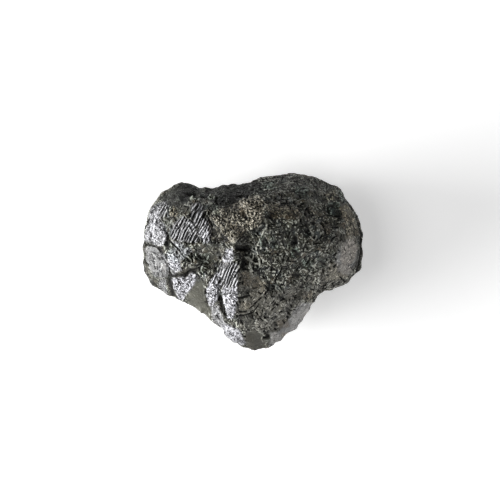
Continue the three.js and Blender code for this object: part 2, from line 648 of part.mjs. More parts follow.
// Closes up every edge shorter than the limit, shortest first, where that leaves a closed surface
// and turns no facet over.
function closeShortEdges(points, facets, limit) {
  const around = points.map(() => new Set());
  facets.forEach((facet) => facet.forEach((i) => around[i].add(facet)));
  const neighbours = (i) => new Set([...around[i]].flat().filter((j) => j !== i));
  const normal = ([a, b, c]) => new THREE.Vector3().crossVectors(
    points[b].clone().sub(points[a]), points[c].clone().sub(points[a]),
  );

  const edges = facets.flatMap(([a, b, c]) => [[a, b], [b, c], [c, a]])
    .filter(([a, b]) => a < b && points[a].distanceTo(points[b]) < limit)
    .sort(([a, b], [c, d]) => points[a].distanceTo(points[b]) - points[c].distanceTo(points[d]));
  for (const [keep, drop] of edges) {
    if (around[keep].size === 0 || around[drop].size === 0) continue;
    if (points[keep].distanceTo(points[drop]) >= limit) continue;
    const ofDrop = neighbours(drop);
    if (!ofDrop.has(keep)) continue;
    const shared = [...neighbours(keep)].filter((i) => ofDrop.has(i));
    if (shared.length !== 2) continue;

    const moved = [...around[drop]].filter((facet) => !facet.includes(keep));
    const turned = moved.some((facet) => {
      const after = facet.map((i) => (i === drop ? keep : i));
      return normal(after).dot(normal(facet)) <= 0;
    });
    if (turned) continue;
    for (const facet of around[drop]) {
      if (!facet.includes(keep)) {
        facet[facet.indexOf(drop)] = keep;
        around[keep].add(facet);
      } else {
        facet.forEach((i) => i !== drop && around[i].delete(facet));
        facet.length = 0;
      }
    }
    around[drop].clear();
  }
  return facets.filter((facet) => facet.length === 3);
}

function cleaned(solid) {
  const { vertProperties, triVerts } = solid.getMesh();
  const points = [];
  for (let i = 0; i < vertProperties.length; i += 3) {
    points.push(new THREE.Vector3().fromArray(vertProperties, i));
  }
  let facets = [];
  for (let i = 0; i < triVerts.length; i += 3) facets.push([...triVerts.slice(i, i + 3)]);
  facets = largestBody(points, facets);
  for (let pass = 0; pass < 3; pass++) facets = closeShortEdges(points, facets, SHORTEST_EDGE);
  return mergeVertices(geometryOf(points, facets), 1e-5);
}

// ---------------------------------------------------------------- the finished stone

const geometry = cleaned(stoneSolid());
geometry.computeBoundingBox();
const { min, max } = geometry.boundingBox;
geometry.translate(-(min.x + max.x) / 2, -(min.y + max.y) / 2, -min.z);

const stone = new THREE.Mesh(
  geometry,
  new THREE.MeshStandardMaterial({ color: 0x2b2b29, roughness: 0.4, metalness: 0 }),
);
stone.name = 'rough_diamond';

const group = new THREE.Group();
group.add(stone);

export default group;
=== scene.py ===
import math

import bpy
import numpy as np
from mathutils import Matrix, Vector
from mathutils.bvhtree import BVHTree


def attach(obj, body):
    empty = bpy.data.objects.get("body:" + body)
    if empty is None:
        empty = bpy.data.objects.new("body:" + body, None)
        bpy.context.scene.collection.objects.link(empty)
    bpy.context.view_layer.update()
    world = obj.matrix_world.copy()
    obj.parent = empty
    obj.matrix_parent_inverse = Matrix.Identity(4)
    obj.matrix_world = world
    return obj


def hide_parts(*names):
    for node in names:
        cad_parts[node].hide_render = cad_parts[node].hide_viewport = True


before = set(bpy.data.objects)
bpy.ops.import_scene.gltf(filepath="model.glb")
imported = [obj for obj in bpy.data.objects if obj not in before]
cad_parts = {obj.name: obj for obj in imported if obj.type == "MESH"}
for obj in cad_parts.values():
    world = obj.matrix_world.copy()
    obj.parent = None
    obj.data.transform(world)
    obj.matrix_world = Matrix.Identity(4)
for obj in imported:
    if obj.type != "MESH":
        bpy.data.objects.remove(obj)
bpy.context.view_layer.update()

# The frame is in metres, and the shapes here are worked out in millimetres. Places on the front are given in
# plan units, across and down as they lie in the photo, which is 500 of them wide and high.
MM = 0.001
STONE_WIDTH = 8.6  # mm
STONE_WIDTH_IN_PLAN = 221.0
UNIT = STONE_WIDTH / STONE_WIDTH_IN_PLAN  # mm
PLAN_SIZE = 500
MIDDLE_ACROSS, MIDDLE_DOWN = 253.0, 262.0  # where the stone's middle is in the plan

COARSE_VOXEL = 0.07  # mm, of the mesh that the solid is evened out on
VOXEL = 0.024  # mm, of the mesh that carries the relief
TRIANGLES = 196000  # of the finished mesh
BACK_TRIANGLES = 28000  # of its hidden side, before the last thinning

# The crystal's cube axes, the same as the solid's, and the planes it splits along with the cube's.
CRYSTAL = Matrix.Rotation(0.62, 3, "X") @ Matrix.Rotation(-0.35, 3, "Y") @ Matrix.Rotation(0.46, 3, "Z")
TURN = np.array(CRYSTAL)
SPLITS = [(1, 1, 1), (1, 1, -1), (1, -1, 1), (-1, 1, 1), (1, 0, 0), (0, 1, 0), (0, 0, 1)]
PLANES = np.array(SPLITS, dtype=float) @ TURN
PLANES /= np.linalg.norm(PLANES, axis=1)[:, None]


# ---------------------------------------------------------------- noise

# Large odd numbers that scatter the numbers of neighbouring cells.
FACTORS = (374761393, 668265263, 2147483647, 1274126177)
MIXERS = (1103515245, 2246822519)
BITS = 0xFFFFFFFF
FAR = 9.0  # spacings, further than any cell's point


def hashed(i, j, k, salt):
    """A number from 0 to 1 for each cell of space."""
    n = (i.astype(np.int64) * FACTORS[0] + j.astype(np.int64) * FACTORS[1]
         + k.astype(np.int64) * FACTORS[2] + salt * FACTORS[3]) & BITS
    n = ((n ^ (n >> 13)) * MIXERS[0]) & BITS
    n = ((n ^ (n >> 15)) * MIXERS[1]) & BITS
    return ((n ^ (n >> 16)) & BITS) / 2.0 ** 32


def smooth(p, spacing, salt):
    """Smooth noise, about -1 to 1."""
    q = p / spacing
    base = np.floor(q).astype(np.int64)
    f = q - base
    f = f * f * (3 - 2 * f)
    shares = (1 - f, f)
    total = np.zeros(len(p))
    for a in (0, 1):
        for b in (0, 1):
            for c in (0, 1):
                share = shares[a][:, 0] * shares[b][:, 1] * shares[c][:, 2]
                total += share * hashed(base[:, 0] + a, base[:, 1] + b, base[:, 2] + c, salt)
    return total * 2 - 1


def near_cells(q):
    """The cell each point is in and the 26 round it."""
    base = np.floor(q).astype(np.int64)
    for a in (-1, 0, 1):
        for b in (-1, 0, 1):
            for c in (-1, 0, 1):
                yield base[:, 0] + a, base[:, 1] + b, base[:, 2] + c


def crystals(p, spacing, salt):
    """Octahedral crystal points: 1 on a point, about 0 between them."""
    q = p / spacing
    nearest = np.full(len(p), FAR)
    for i, j, k in near_cells(q):
        d = (abs(q[:, 0] - i - hashed(i, j, k, salt)) + abs(q[:, 1] - j - hashed(i, j, k, salt + 1))
             + abs(q[:, 2] - k - hashed(i, j, k, salt + 2)))
        nearest = np.minimum(nearest, d)
    return 1 - nearest


def plates(p, spacing, salt):
    """Flat plates, each tilted its own way, with a step to the next one.

    Gives the height, a number from 0 to 1 for each plate, how far the nearest border is, and a number
    for each border."""
    tilting, stepping, border_mix = 2, 0.7, 7.31
    q = p / spacing
    nearest, second = np.full(len(p), FAR), np.full(len(p), FAR)
    height, own, other = np.zeros(len(p)), np.zeros(len(p)), np.zeros(len(p))
    for i, j, k in near_cells(q):
        dx = q[:, 0] - i - hashed(i, j, k, salt)
        dy = q[:, 1] - j - hashed(i, j, k, salt + 1)
        dz = q[:, 2] - k - hashed(i, j, k, salt + 2)
        d = np.sqrt(dx * dx + dy * dy + dz * dz)
        number = hashed(i, j, k, salt + 6)
        slope = ((hashed(i, j, k, salt + 3) - 0.5) * dx + (hashed(i, j, k, salt + 4) - 0.5) * dy
                 + (hashed(i, j, k, salt + 5) - 0.5) * dz)
        closer = d < nearest
        middling = ~closer & (d < second)
        second = np.where(closer, nearest, np.where(middling, d, second))
        other = np.where(closer, own, np.where(middling, number, other))
        nearest = np.where(closer, d, nearest)
        own = np.where(closer, number, own)
        height = np.where(closer, slope * tilting + (number - 0.5) * stepping, height)
    return height, own, (second - nearest) * spacing, (own + other) * border_mix % 1.0


def ramp(x, a, b):
    """0 up to a, 1 from b on, and smooth between."""
    t = np.clip((x - a) / (b - a), 0, 1)
    return t * t * (3 - 2 * t)


def spared(weight, share):
    """1 where the weight is 0, less by this share of it elsewhere."""
    return 1 - share * weight


# ---------------------------------------------------------------- marks scored along the crystal's planes

class Neighbours:
    """Points sorted into cubes, to find those near a place quickly."""

    def __init__(self, p, size):
        self.size = size
        self.low = p.min(0) - size
        self.shape = (np.ceil((p.max(0) - self.low) / size) + 2).astype(np.int64)
        key = self.key(np.floor((p - self.low) / size).astype(np.int64))
        self.order = np.argsort(key, kind="stable")
        self.start = np.searchsorted(key[self.order], np.arange(self.shape.prod() + 1))

    def key(self, cube):
        return (cube[..., 0] * self.shape[1] + cube[..., 1]) * self.shape[2] + cube[..., 2]

    def near(self, place):
        cube = np.floor((place - self.low) / self.size).astype(np.int64)
        found = []
        for i in (-1, 0, 1):
            for j in (-1, 0, 1):
                row = self.key(cube + (i, j, -1))
                found.append(self.order[self.start[row]:self.start[row + 3]])
        return np.concatenate(found)


OUTSIDE = 20  # mm from the middle, where the rays that find a mark's place start
PLANE_WAVER = 0.12  # how far a mark's plane strays from the crystal's
GRAZING = 0.85  # how far a plane may lie along the surface and still leave a mark, 1 is parallel to it
TENT = 2.5  # a mark's weight falls to 0 this many half widths from its line
STEP_WIDTH = 1.2  # half widths to either side of the line over which its step rises
END_FADE = 2.5  # a mark fades over the last part of its reach, one in this many


def scored(p, tree, seed, count, longest, half_width, step):
    """Straight marks along the crystal's planes, all over: pale arrises, dark gaps and low steps."""
    rng = np.random.default_rng(seed)
    middle = (p.min(0) + p.max(0)) / 2
    cubes = Neighbours(p, longest)
    pale, dark, height = np.zeros(len(p)), np.zeros(len(p)), np.zeros(len(p))
    for _ in range(count):
        out = rng.normal(size=3)
        out /= np.linalg.norm(out)
        plane = PLANES[rng.integers(len(PLANES))] + rng.normal(size=3) * PLANE_WAVER
        plane /= np.linalg.norm(plane)
        reach = longest * rng.uniform(0.25, 1.0) ** 1.5
        width = half_width * rng.uniform(0.7, 1.5)
        strength, kind, side = rng.uniform(0.4, 1.0), rng.uniform(), rng.choice((-1, 1))
        hit, normal, _, _ = tree.ray_cast(Vector(middle + out * OUTSIDE), Vector(-out))
        if hit is None or abs(np.dot(plane, normal)) > GRAZING:
            continue
        near = cubes.near(np.array(hit))
        v = p[near] - hit
        across = v @ plane
        away = np.sqrt(np.maximum((v * v).sum(1), 0))
        fade = np.clip(END_FADE * (1 - away / reach), 0, 1)
        line = (0.5 + 0.5 * strength) * fade * np.clip(1 - abs(across) / (TENT * width), 0, 1)
        marks = pale if kind < 0.5 else dark
        marks[near] = np.maximum(marks[near], line)
        height[near] += step * strength * side * fade * np.clip(across / (STEP_WIDTH * width), -1, 1)
    return pale, dark, height


# ---------------------------------------------------------------- meshes

def changed(mesh, kind, settings, only=None):
    """The mesh after one modifier, where only says which points it may change."""
    ob = bpy.data.objects.new("changed", mesh)
    bpy.context.scene.collection.objects.link(ob)
    mod = ob.modifiers.new("change", kind)
    for name, value in settings.items():
        setattr(mod, name, value)
    if only is not None:
        group = ob.vertex_groups.new(name="only")
        group.add(np.where(only)[0].tolist(), 1.0, "REPLACE")
        mod.vertex_group = "only"
        mod.vertex_group_factor = 0.0001
    made = bpy.data.meshes.new_from_object(ob.evaluated_get(bpy.context.evaluated_depsgraph_get()))
    bpy.data.objects.remove(ob)
    return made


def remeshed(mesh, voxel):
    """The mesh's shape made again from even squares of about this size."""
    return changed(mesh, "REMESH", {"mode": "VOXEL", "voxel_size": voxel, "adaptivity": 0})


def thinned(mesh, ratio, only=None):
    """The mesh with this share of its triangles, where only says which points may go."""
    return changed(mesh, "DECIMATE", {"ratio": min(1.0, ratio), "use_collapse_triangulate": True}, only)


def points_and_edges(mesh):
    p = np.empty(len(mesh.vertices) * 3)
    mesh.vertices.foreach_get("co", p)
    e = np.empty(len(mesh.edges) * 2, dtype=np.int64)
    mesh.edges.foreach_get("vertices", e)
    return p.reshape(-1, 3), e.reshape(-1, 2)


def normals_of(mesh):
    n = np.empty(len(mesh.vertices) * 3)
    mesh.vertices.foreach_get("normal", n)
    return n.reshape(-1, 3)


def place_points(mesh, p):
    mesh.vertices.foreach_set("co", p.ravel())
    mesh.update()


def relaxed(values, edges, passes, share=0.6):
    """Each value moved towards its neighbours' mean."""
    n = len(values)
    count = np.bincount(edges.ravel(), minlength=n).astype(float)
    out = values.copy()
    for _ in range(passes):
        for c in range(out.shape[1]):
            total = (np.bincount(edges[:, 0], out[edges[:, 1], c], n)
                     + np.bincount(edges[:, 1], out[edges[:, 0], c], n))
            out[:, c] += share * (total / count - out[:, c])
    return out


# ---------------------------------------------------------------- outlines and lines in the plan

REACH = 8.0  # plan units past an outline or a line, where its distance is no longer worked out


def plan_of(p):
    """Where each point is in the plan, across and down."""
    return np.column_stack((p[:, 0] / UNIT + MIDDLE_ACROSS, MIDDLE_DOWN - p[:, 1] / UNIT))


def pairs(numbers):
    """The places of an outline or a line that is written across, down, across, down."""
    return np.array(numbers, dtype=float).reshape(-1, 2)


def points_near(q, places, margin):
    return np.where(((q > places.min(0) - margin) & (q < places.max(0) + margin)).all(1))[0]


def squared_distance(x, y, start, end):
    """From each point to the straight line between two places, squared."""
    ax, ay = start
    ex, ey = end[0] - ax, end[1] - ay
    t = np.clip(((x - ax) * ex + (y - ay) * ey) / (ex * ex + ey * ey + 1e-9), 0, 1)
    return (x - ax - t * ex) ** 2 + (y - ay - t * ey) ** 2


def inside(q, outline):
    """How deep each point is inside an outline in the plan, negative outside it."""
    places = pairs(outline)
    depth = np.full(len(q), -REACH)
    near = points_near(q, places, REACH)
    x, y = q[near, 0], q[near, 1]
    best = np.full(len(near), 1e9)
    odd = np.zeros(len(near), dtype=bool)
    for start, end in zip(places, np.roll(places, -1, 0)):
        best = np.minimum(best, squared_distance(x, y, start, end))
        (ax, ay), (bx, by) = start, end
        odd ^= ((ay > y) != (by > y)) & (x < (bx - ax) * (y - ay) / (by - ay + 1e-12) + ax)
    depth[near] = np.where(odd, 1, -1) * np.sqrt(best)
    return depth


def line_distance(q, path):
    """Each point's distance from a line in the plan."""
    places = pairs(path)
    out = np.full(len(q), REACH)
    near = points_near(q, places, REACH)
    x, y = q[near, 0], q[near, 1]
    best = np.full(len(near), 1e9)
    for start, end in zip(places[:-1], places[1:]):
        best = np.minimum(best, squared_distance(x, y, start, end))
    out[near] = np.sqrt(best)
    return out


def strokes(q, groups):
    """How far each point is on a stroke: 0 beside it, and 0.4 and 0.6 of its strength on its middle line."""
    out = np.zeros(len(q))
    for group in groups.values():
        corners = np.concatenate([pairs(path) for _, _, *path in group])
        near = points_near(q, corners, REACH / 2)
        part = q[near]
        best = np.zeros(len(near))
        for half_width, strength, *path in group:
            on_line = np.clip(1 - line_distance(part, path) / (2.0 * half_width), 0, 1)
            best = np.maximum(best, (0.4 + 0.6 * strength) * on_line)
        out[near] = np.maximum(out[near], best)
    return out


# ---------------------------------------------------------------- regions and marks of the front

# Every outline and path below is written across, down, across, down in plan units.
# Silver-grey crystal areas, partly their own grey and partly painted sheen where the faces catch the lamps:
# share, outline.
SILVER_SHEEN = [
    (0.75, 149, 214, 155, 205, 163, 208, 160, 217, 164, 223, 168, 232, 166, 240, 163, 247, 157, 246, 150,
     243, 144, 240, 146, 228),
    (0.4, 146, 247, 155, 246, 161, 250, 163, 256, 168, 251, 175, 248, 182, 252, 188, 257, 180, 262, 182,
     270, 174, 275, 170, 268, 168, 276, 163, 279, 155, 276, 150, 270, 146, 258),
    (0.9, 168, 253, 177, 255, 181, 262, 182, 270, 175, 273, 170, 266),
    (1, 171, 279, 177, 277, 187, 277, 192, 272, 198, 276, 196, 283, 190, 290, 186, 295, 184, 299, 178, 298,
     175, 291, 173, 285),
    (0.45, 160, 279, 166, 280, 166, 288, 169, 297, 163, 295, 158, 287),
    (1, 209, 284, 212, 277, 216, 274, 220, 272, 221, 283, 219, 292, 218, 298, 214, 305, 210, 306, 208, 300,
     206, 290),
    (1, 224, 285, 231, 288, 237, 277, 238, 290, 237, 300, 236, 310, 233, 318, 227, 318, 225, 309, 223, 298,
     222, 291),
    (0.95, 227, 248, 233, 249, 233, 258, 231, 263, 222, 262, 224, 255),
    (0.5, 211, 306, 218, 304, 221, 312, 226, 322, 222, 326, 214, 318),
    (0.9, 222, 322, 229, 325, 238, 328, 241, 331, 243, 338, 246, 343, 240, 346, 230, 341, 222, 333),
    (0.8, 202, 218, 208, 219, 211, 227, 212, 236, 210, 243, 204, 244, 200, 236, 199, 228),
    (0.6, 176, 222, 184, 217, 190, 220, 199, 232, 200, 241, 190, 243, 181, 241, 172, 238, 171, 233),
    (0.65, 192, 204, 198, 203, 203, 206, 204, 215, 200, 226, 195, 228, 191, 220, 192, 211),
    (0.55, 157, 203, 166, 201, 169, 207, 168, 213, 162, 219, 157, 214),
    (0.65, 172, 240, 182, 243, 186, 248, 190, 247, 194, 252, 186, 256, 178, 250),
    (0.6, 220, 263, 238, 263, 238, 285, 222, 288, 219, 270),
    (0.35, 270, 333, 280, 330, 290, 318, 295, 308, 302, 303, 311, 302, 312, 310, 304, 322, 294, 332, 282,
     340, 270, 347),
    (0.3, 338, 250, 345, 240, 353, 238, 358, 250, 356, 262, 349, 275, 338, 272, 333, 262),
]
# Tan crystal areas: share, outline.
TAN = [
    (0.75, 211, 216, 222, 206, 232, 204, 240, 199, 252, 196, 262, 198, 264, 210, 262, 222, 258, 230, 248,
     230, 243, 232, 239, 238, 235, 243, 228, 240, 221, 230, 213, 222),
    (1, 240, 202, 252, 197, 262, 199, 262, 214, 258, 227, 249, 229, 246, 215),
]
# Smooth, waxy faces: share, outline.
SMOOTH = [
    (1, 191, 284, 197, 280, 203, 282, 205, 290, 206, 300, 209, 309, 203, 314, 195, 311, 187, 306, 185, 298,
     187, 291),
    (0.5, 142, 258, 149, 262, 156, 271, 163, 282, 170, 297, 160, 293, 150, 285, 144, 274),
    (0.65, 146, 248, 158, 248, 163, 256, 160, 268, 166, 276, 158, 284, 148, 272, 144, 258),
    (0.5, 324, 262, 343, 265, 353, 267, 348, 276, 340, 279, 325, 281),
    (0.9, 166, 278, 170, 280, 173, 288, 175, 298, 171, 298, 168, 288),
    (0.55, 202, 308, 212, 306, 221, 317, 232, 326, 243, 333, 247, 344, 240, 348, 228, 341, 216, 330, 206,
     318),
    (1, 245, 331, 256, 329, 262, 333, 268, 338, 266, 347, 258, 351, 247, 350, 245, 340),
    (0.9, 179, 270, 190, 268, 200, 266, 201, 271, 192, 273, 187, 277, 178, 278),
    (0.6, 202, 246, 214, 243, 226, 246, 222, 256, 218, 264, 212, 270, 206, 262, 203, 254),
    (0.6, 338, 236, 352, 232, 359, 250, 356, 266, 347, 278, 336, 276, 334, 258),
    (0.5, 345, 200, 358, 218, 360, 236, 350, 236, 344, 220, 338, 206),
    (0.3, 160, 196, 172, 188, 184, 183, 194, 187, 198, 194, 190, 200, 186, 207, 176, 210, 168, 203),
    (0.5, 240, 272, 250, 270, 262, 276, 266, 290, 262, 304, 256, 322, 246, 328, 240, 310, 239, 290),
    (0.4, 266, 292, 280, 292, 300, 284, 306, 296, 300, 308, 288, 322, 274, 330, 262, 322, 262, 304),
    (0.85, 268, 332, 280, 328, 292, 314, 300, 302, 314, 303, 306, 318, 294, 333, 280, 342, 268, 347),
]
# Areas with a warmer body: share, outline.
WARM = [
    (1, 240, 272, 250, 270, 262, 276, 266, 290, 280, 292, 300, 284, 306, 296, 300, 308, 288, 322, 276, 334,
     262, 332, 240, 328, 237, 310, 240, 295),
    (0.7, 300, 284, 318, 270, 332, 262, 346, 268, 352, 278, 330, 292, 312, 304, 303, 298),
    (0.6, 338, 236, 352, 232, 359, 250, 356, 266, 347, 278, 336, 276, 334, 258),
]
# Deep places, sunk and painted dark as shade: share, outline.
DEEP_PLACES_PAINTED_SHADE = [
    (0.7, 235, 247, 241, 240, 247, 236, 250, 241, 252, 246, 250, 250, 245, 249, 239, 251),
    (0.7, 241, 258, 249, 260, 249, 267, 242, 268),
    (0.7, 290, 234, 296, 236, 297, 243, 291, 244),
    (0.6, 265, 238, 275, 244, 272, 249, 263, 248),
]
# Single faces and patches: how many stops paler (+) or darker (-) they are than their finish, partly their
# own tone and partly painted light and shade, how brown (+) or green (-), and the outline. A later one lies
# over an earlier one.
PATCHES = {
    "upper left cap": [
        (-2.1, -0.2, 158, 198, 172, 187, 184, 182, 196, 186, 200, 190, 192, 200, 180, 207, 168, 204),
        (-1.4, -0.8, 188, 192, 197, 191, 198, 195, 190, 196),
        (1.1, -0.3, 190, 198, 194, 196, 200, 197, 199, 201, 193, 201),
        (-0.4, 0.9, 170, 214, 174, 206, 178, 212, 177, 218, 171, 218),
        (-0.8, 0, 178, 207, 186, 203, 192, 203, 191, 212, 183, 216, 174, 221, 170, 233, 166, 226, 169, 219,
         178, 217),
        (-1, -0.8, 200, 188, 205, 193, 206, 197, 201, 196),
    ],
    # painted shade: this edge faces away from the lamps
    "the dark middle of the top edge": [
        (-2.6, -0.3, 205, 188, 218, 185, 240, 184, 258, 180, 262, 190, 247, 197, 236, 203, 222, 209, 213,
         203, 206, 196),
        (0.7, -0.3, 206, 196, 215, 194, 217, 198, 210, 199),
        (-0.6, -0.6, 211, 203, 219, 205, 221, 216, 214, 216),
    ],
    "the tan slope": [
        (-0.9, 0.8, 238, 207, 244, 208, 247, 218, 241, 217),
        (-0.7, 0.4, 229, 222, 240, 227, 249, 233, 240, 234, 230, 228),
        (-1.4, 0.6, 210, 222, 219, 230, 226, 238, 232, 243, 222, 243, 211, 241, 209, 231),
    ],
    "left side": [
        (0.1, -0.25, 166, 243, 196, 245, 200, 256, 188, 264, 176, 262, 166, 256),
        (-1.3, -0.2, 167, 236, 171, 240, 170, 248, 165, 250, 166, 243),
        (-0.7, -0.2, 163, 219, 172, 221, 173, 230, 170, 236, 164, 230),
        (-0.9, 0.2, 142, 257, 147, 262, 150, 274, 158, 287, 150, 284, 143, 272),
        (-0.7, 0.3, 180, 271, 187, 268, 197, 267, 200, 271, 190, 273, 187, 277, 181, 276),
        (-1, -0.2, 200, 243, 212, 241, 222, 244, 219, 247, 206, 247),
        (-0.4, 0.2, 207, 248, 222, 247, 226, 251, 222, 259, 215, 263, 209, 257),
        (-0.3, -0.4, 199, 254, 210, 253, 211, 262, 207, 270, 205, 276, 199, 272),
        (-0.7, 0, 218, 260, 222, 264, 217, 270, 213, 264),
        (-1, 0.3, 210, 273, 216, 270, 215, 277, 211, 278),
        (-1.2, 0.2, 217, 300, 222, 297, 225, 309, 226, 316, 221, 312),
    ],
    "the hollow and what is round it": [
        (-1.2, -0.6, 253, 187, 262, 188, 265, 194, 255, 195),
        (-1, -0.8, 263, 235, 270, 247, 262, 248, 259, 243),
        (0.5, -0.4, 266, 234, 272, 236, 279, 250, 271, 251),
        (-0.8, -0.4, 252, 266, 258, 266, 261, 274, 254, 278),
        (-0.7, -0.4, 285, 231, 290, 231, 290, 250, 286, 250),
    ],
    "upper right lobe": [
        (-0.5, -1, 263, 182, 275, 182, 276, 189, 268, 190, 262, 187),
        (-0.6, -1, 295, 187, 309, 188, 310, 198, 300, 200, 294, 194),
        (-1, 0.2, 278, 200, 288, 200, 290, 205, 280, 205),
        (0, 0.8, 270, 204, 290, 205, 298, 208, 300, 218, 285, 219, 269, 218),
        (-1, -0.6, 266, 213, 271, 213, 271, 219, 266, 219),
        (0.6, -0.1, 281, 219, 299, 219, 298, 228, 290, 230, 280, 226),
        (-1.1, 0.2, 307, 203, 311, 212, 311, 217, 307, 216, 304, 217, 303, 212),
        (0.6, 0.4, 311, 211, 315, 212, 317, 219, 318, 227, 314, 226, 312, 218),
        (-1.5, -1, 302, 229, 308, 229, 311, 236, 306, 236),
        (-0.7, 0.7, 319, 221, 330, 221, 332, 229, 326, 237, 320, 228),
        (-0.5, -1, 327, 204, 337, 202, 341, 206, 340, 216, 330, 216, 324, 210),
        (0.5, 0, 319, 212, 325, 214, 331, 217, 330, 222, 320, 220),
        (0.8, 0.5, 326, 193, 334, 191, 335, 200, 332, 203, 326, 200),
        (-0.8, -0.3, 312, 182, 320, 181, 326, 188, 318, 190, 312, 187),
        (0, -0.6, 336, 190, 341, 191, 346, 200, 337, 202),
        (0.3, 1, 339, 207, 346, 203, 352, 212, 355, 222, 345, 222, 340, 215),
        (0, 0.7, 342, 222, 356, 222, 361, 236, 345, 236),
    ],
    "the right end": [
        (0.4, 0.5, 344, 236, 354, 238, 358, 250, 353, 262, 343, 268, 339, 258, 341, 247),
        (0.3, 0.4, 330, 262, 343, 265, 353, 267, 348, 276, 340, 279, 325, 281, 327, 268),
        (-1, 0, 357, 236, 364, 236, 364, 250, 360, 264, 355, 271, 351, 268, 357, 256, 358, 246),
        (-0.9, 0.2, 340, 277, 347, 279, 345, 284, 341, 281),
        (-0.5, -1, 290, 246, 299, 248, 299, 258, 290, 258),
        (-0.4, -0.8, 300, 259, 312, 260, 312, 269, 302, 269),
        (-0.4, -0.8, 316, 258, 323, 258, 325, 269, 318, 269),
        (0.7, -0.1, 311, 268, 319, 267, 319, 284, 312, 286),
        (0.6, 0, 299, 269, 306, 268, 305, 278, 300, 278),
        (-0.6, 0.4, 320, 268, 324, 269, 324, 286, 320, 287),
        (-0.6, -0.4, 304, 283, 311, 284, 311, 290, 304, 289),
        (-0.8, 0.4, 289, 273, 298, 271, 299, 279, 290, 279),
        (-0.6, 0.8, 302, 291, 311, 290, 312, 297, 307, 301, 303, 298),
        (-0.5, 0.3, 287, 293, 296, 292, 296, 300, 288, 299),
    ],
    "the lower middle": [
        (-0.5, 0.8, 241, 272, 249, 271, 251, 280, 250, 286, 243, 284),
        (-0.1, 0.5, 251, 277, 258, 276, 261, 283, 259, 289, 252, 288),
        (0.5, 0.5, 259, 279, 264, 281, 267, 287, 265, 293, 261, 291),
        (-0.9, 0, 241, 290, 250, 289, 249, 297, 241, 298),
        (0.4, 0.1, 250, 291, 259, 290, 263, 297, 256, 304, 249, 302),
        (0.1, 0.4, 240, 302, 250, 301, 253, 306, 248, 310, 240, 309),
        (-0.6, -0.1, 240, 314, 253, 313, 256, 320, 255, 329, 243, 328, 240, 320),
        (-0.9, 0, 285, 306, 290, 309, 290, 318, 286, 319),
        (-0.5, 0.8, 276, 321, 288, 319, 290, 327, 280, 329),
    ],
    "the tip and the band beside it": [
        (1, 0, 299, 306, 303, 301, 313, 300, 312, 304, 305, 305),
        (0.6, 0.1, 291, 318, 297, 310, 304, 306, 313, 303, 309, 312, 300, 327, 290, 331),
        (0.6, 0.2, 271, 333, 277, 331, 281, 336, 279, 342, 271, 345),
        (-0.3, 0.7, 281, 333, 289, 332, 289, 337, 283, 341),
        (-0.8, 0.3, 245, 332, 258, 330, 262, 338, 268, 348, 256, 351, 246, 347),
        (-1.6, 0, 262, 336, 268, 334, 270, 337, 264, 339),
    ],
}
# Where the solid has a chance pit and the stone none.
CLOSED = [(191, 193), (237, 193), (279, 245), (341, 230), (338, 210), (330, 281), (280, 324), (287, 317)]
# Corners of the outline that stand out further than the solid's: place, reach in plan units, height in mm.
CORNERS = [
    (337, 192, 15, 0.1), (304, 172, 8, 0.08), (282, 171, 8, 0.07), (192, 184, 8, 0.08), (206, 187, 7, 0.11),
    (222, 184, 7, 0.09), (234, 184, 8, 0.05), (243, 181, 8, 0.12), (365, 236, 10, 0.1),
    (363, 270, 10, 0.11), (331, 292, 9, 0.09), (321, 294, 7, 0.05), (315, 300, 9, 0.08),
    (309, 310, 9, 0.06), (295, 331, 9, 0.08), (283, 341, 7, 0.04), (349, 283, 8, 0.08),
    (141, 249, 10, 0.12), (143, 262, 8, 0.05), (150, 285, 8, 0.08), (168, 296, 9, 0.05),
    (210, 318, 11, 0.16), (217, 325, 10, 0.14), (226, 335, 9, 0.11), (240, 346, 7, 0.06),
    (244, 349, 7, 0.05), (257, 352, 15, 0.08), (270, 349, 9, 0.1),
]
# Zones of parallel ridges: degrees turned, spacing in plan units, how strong they are, outline.
STRIPES = [
    (60, 2.9, 1, 160, 210, 163, 205, 168, 206, 169, 212, 165, 218, 159, 219),
    (61, 2.7, 1, 176, 222, 184, 216, 190, 220, 199, 232, 200, 241, 190, 243, 181, 241, 170, 238, 171, 233),
    (62, 3.3, 0.9, 192, 204, 198, 203, 204, 206, 205, 215, 200, 228, 195, 229, 191, 220, 192, 211),
    (64, 2.6, 0.8, 202, 216, 208, 217, 212, 227, 212, 236, 209, 240, 204, 240, 200, 236, 199, 228),
    (66, 2.8, 1.1, 219, 263, 230, 262, 240, 263, 238, 285, 222, 288, 218, 272),
    (66, 2.6, 0.6, 209, 284, 212, 277, 216, 273, 221, 272, 221, 283),
]
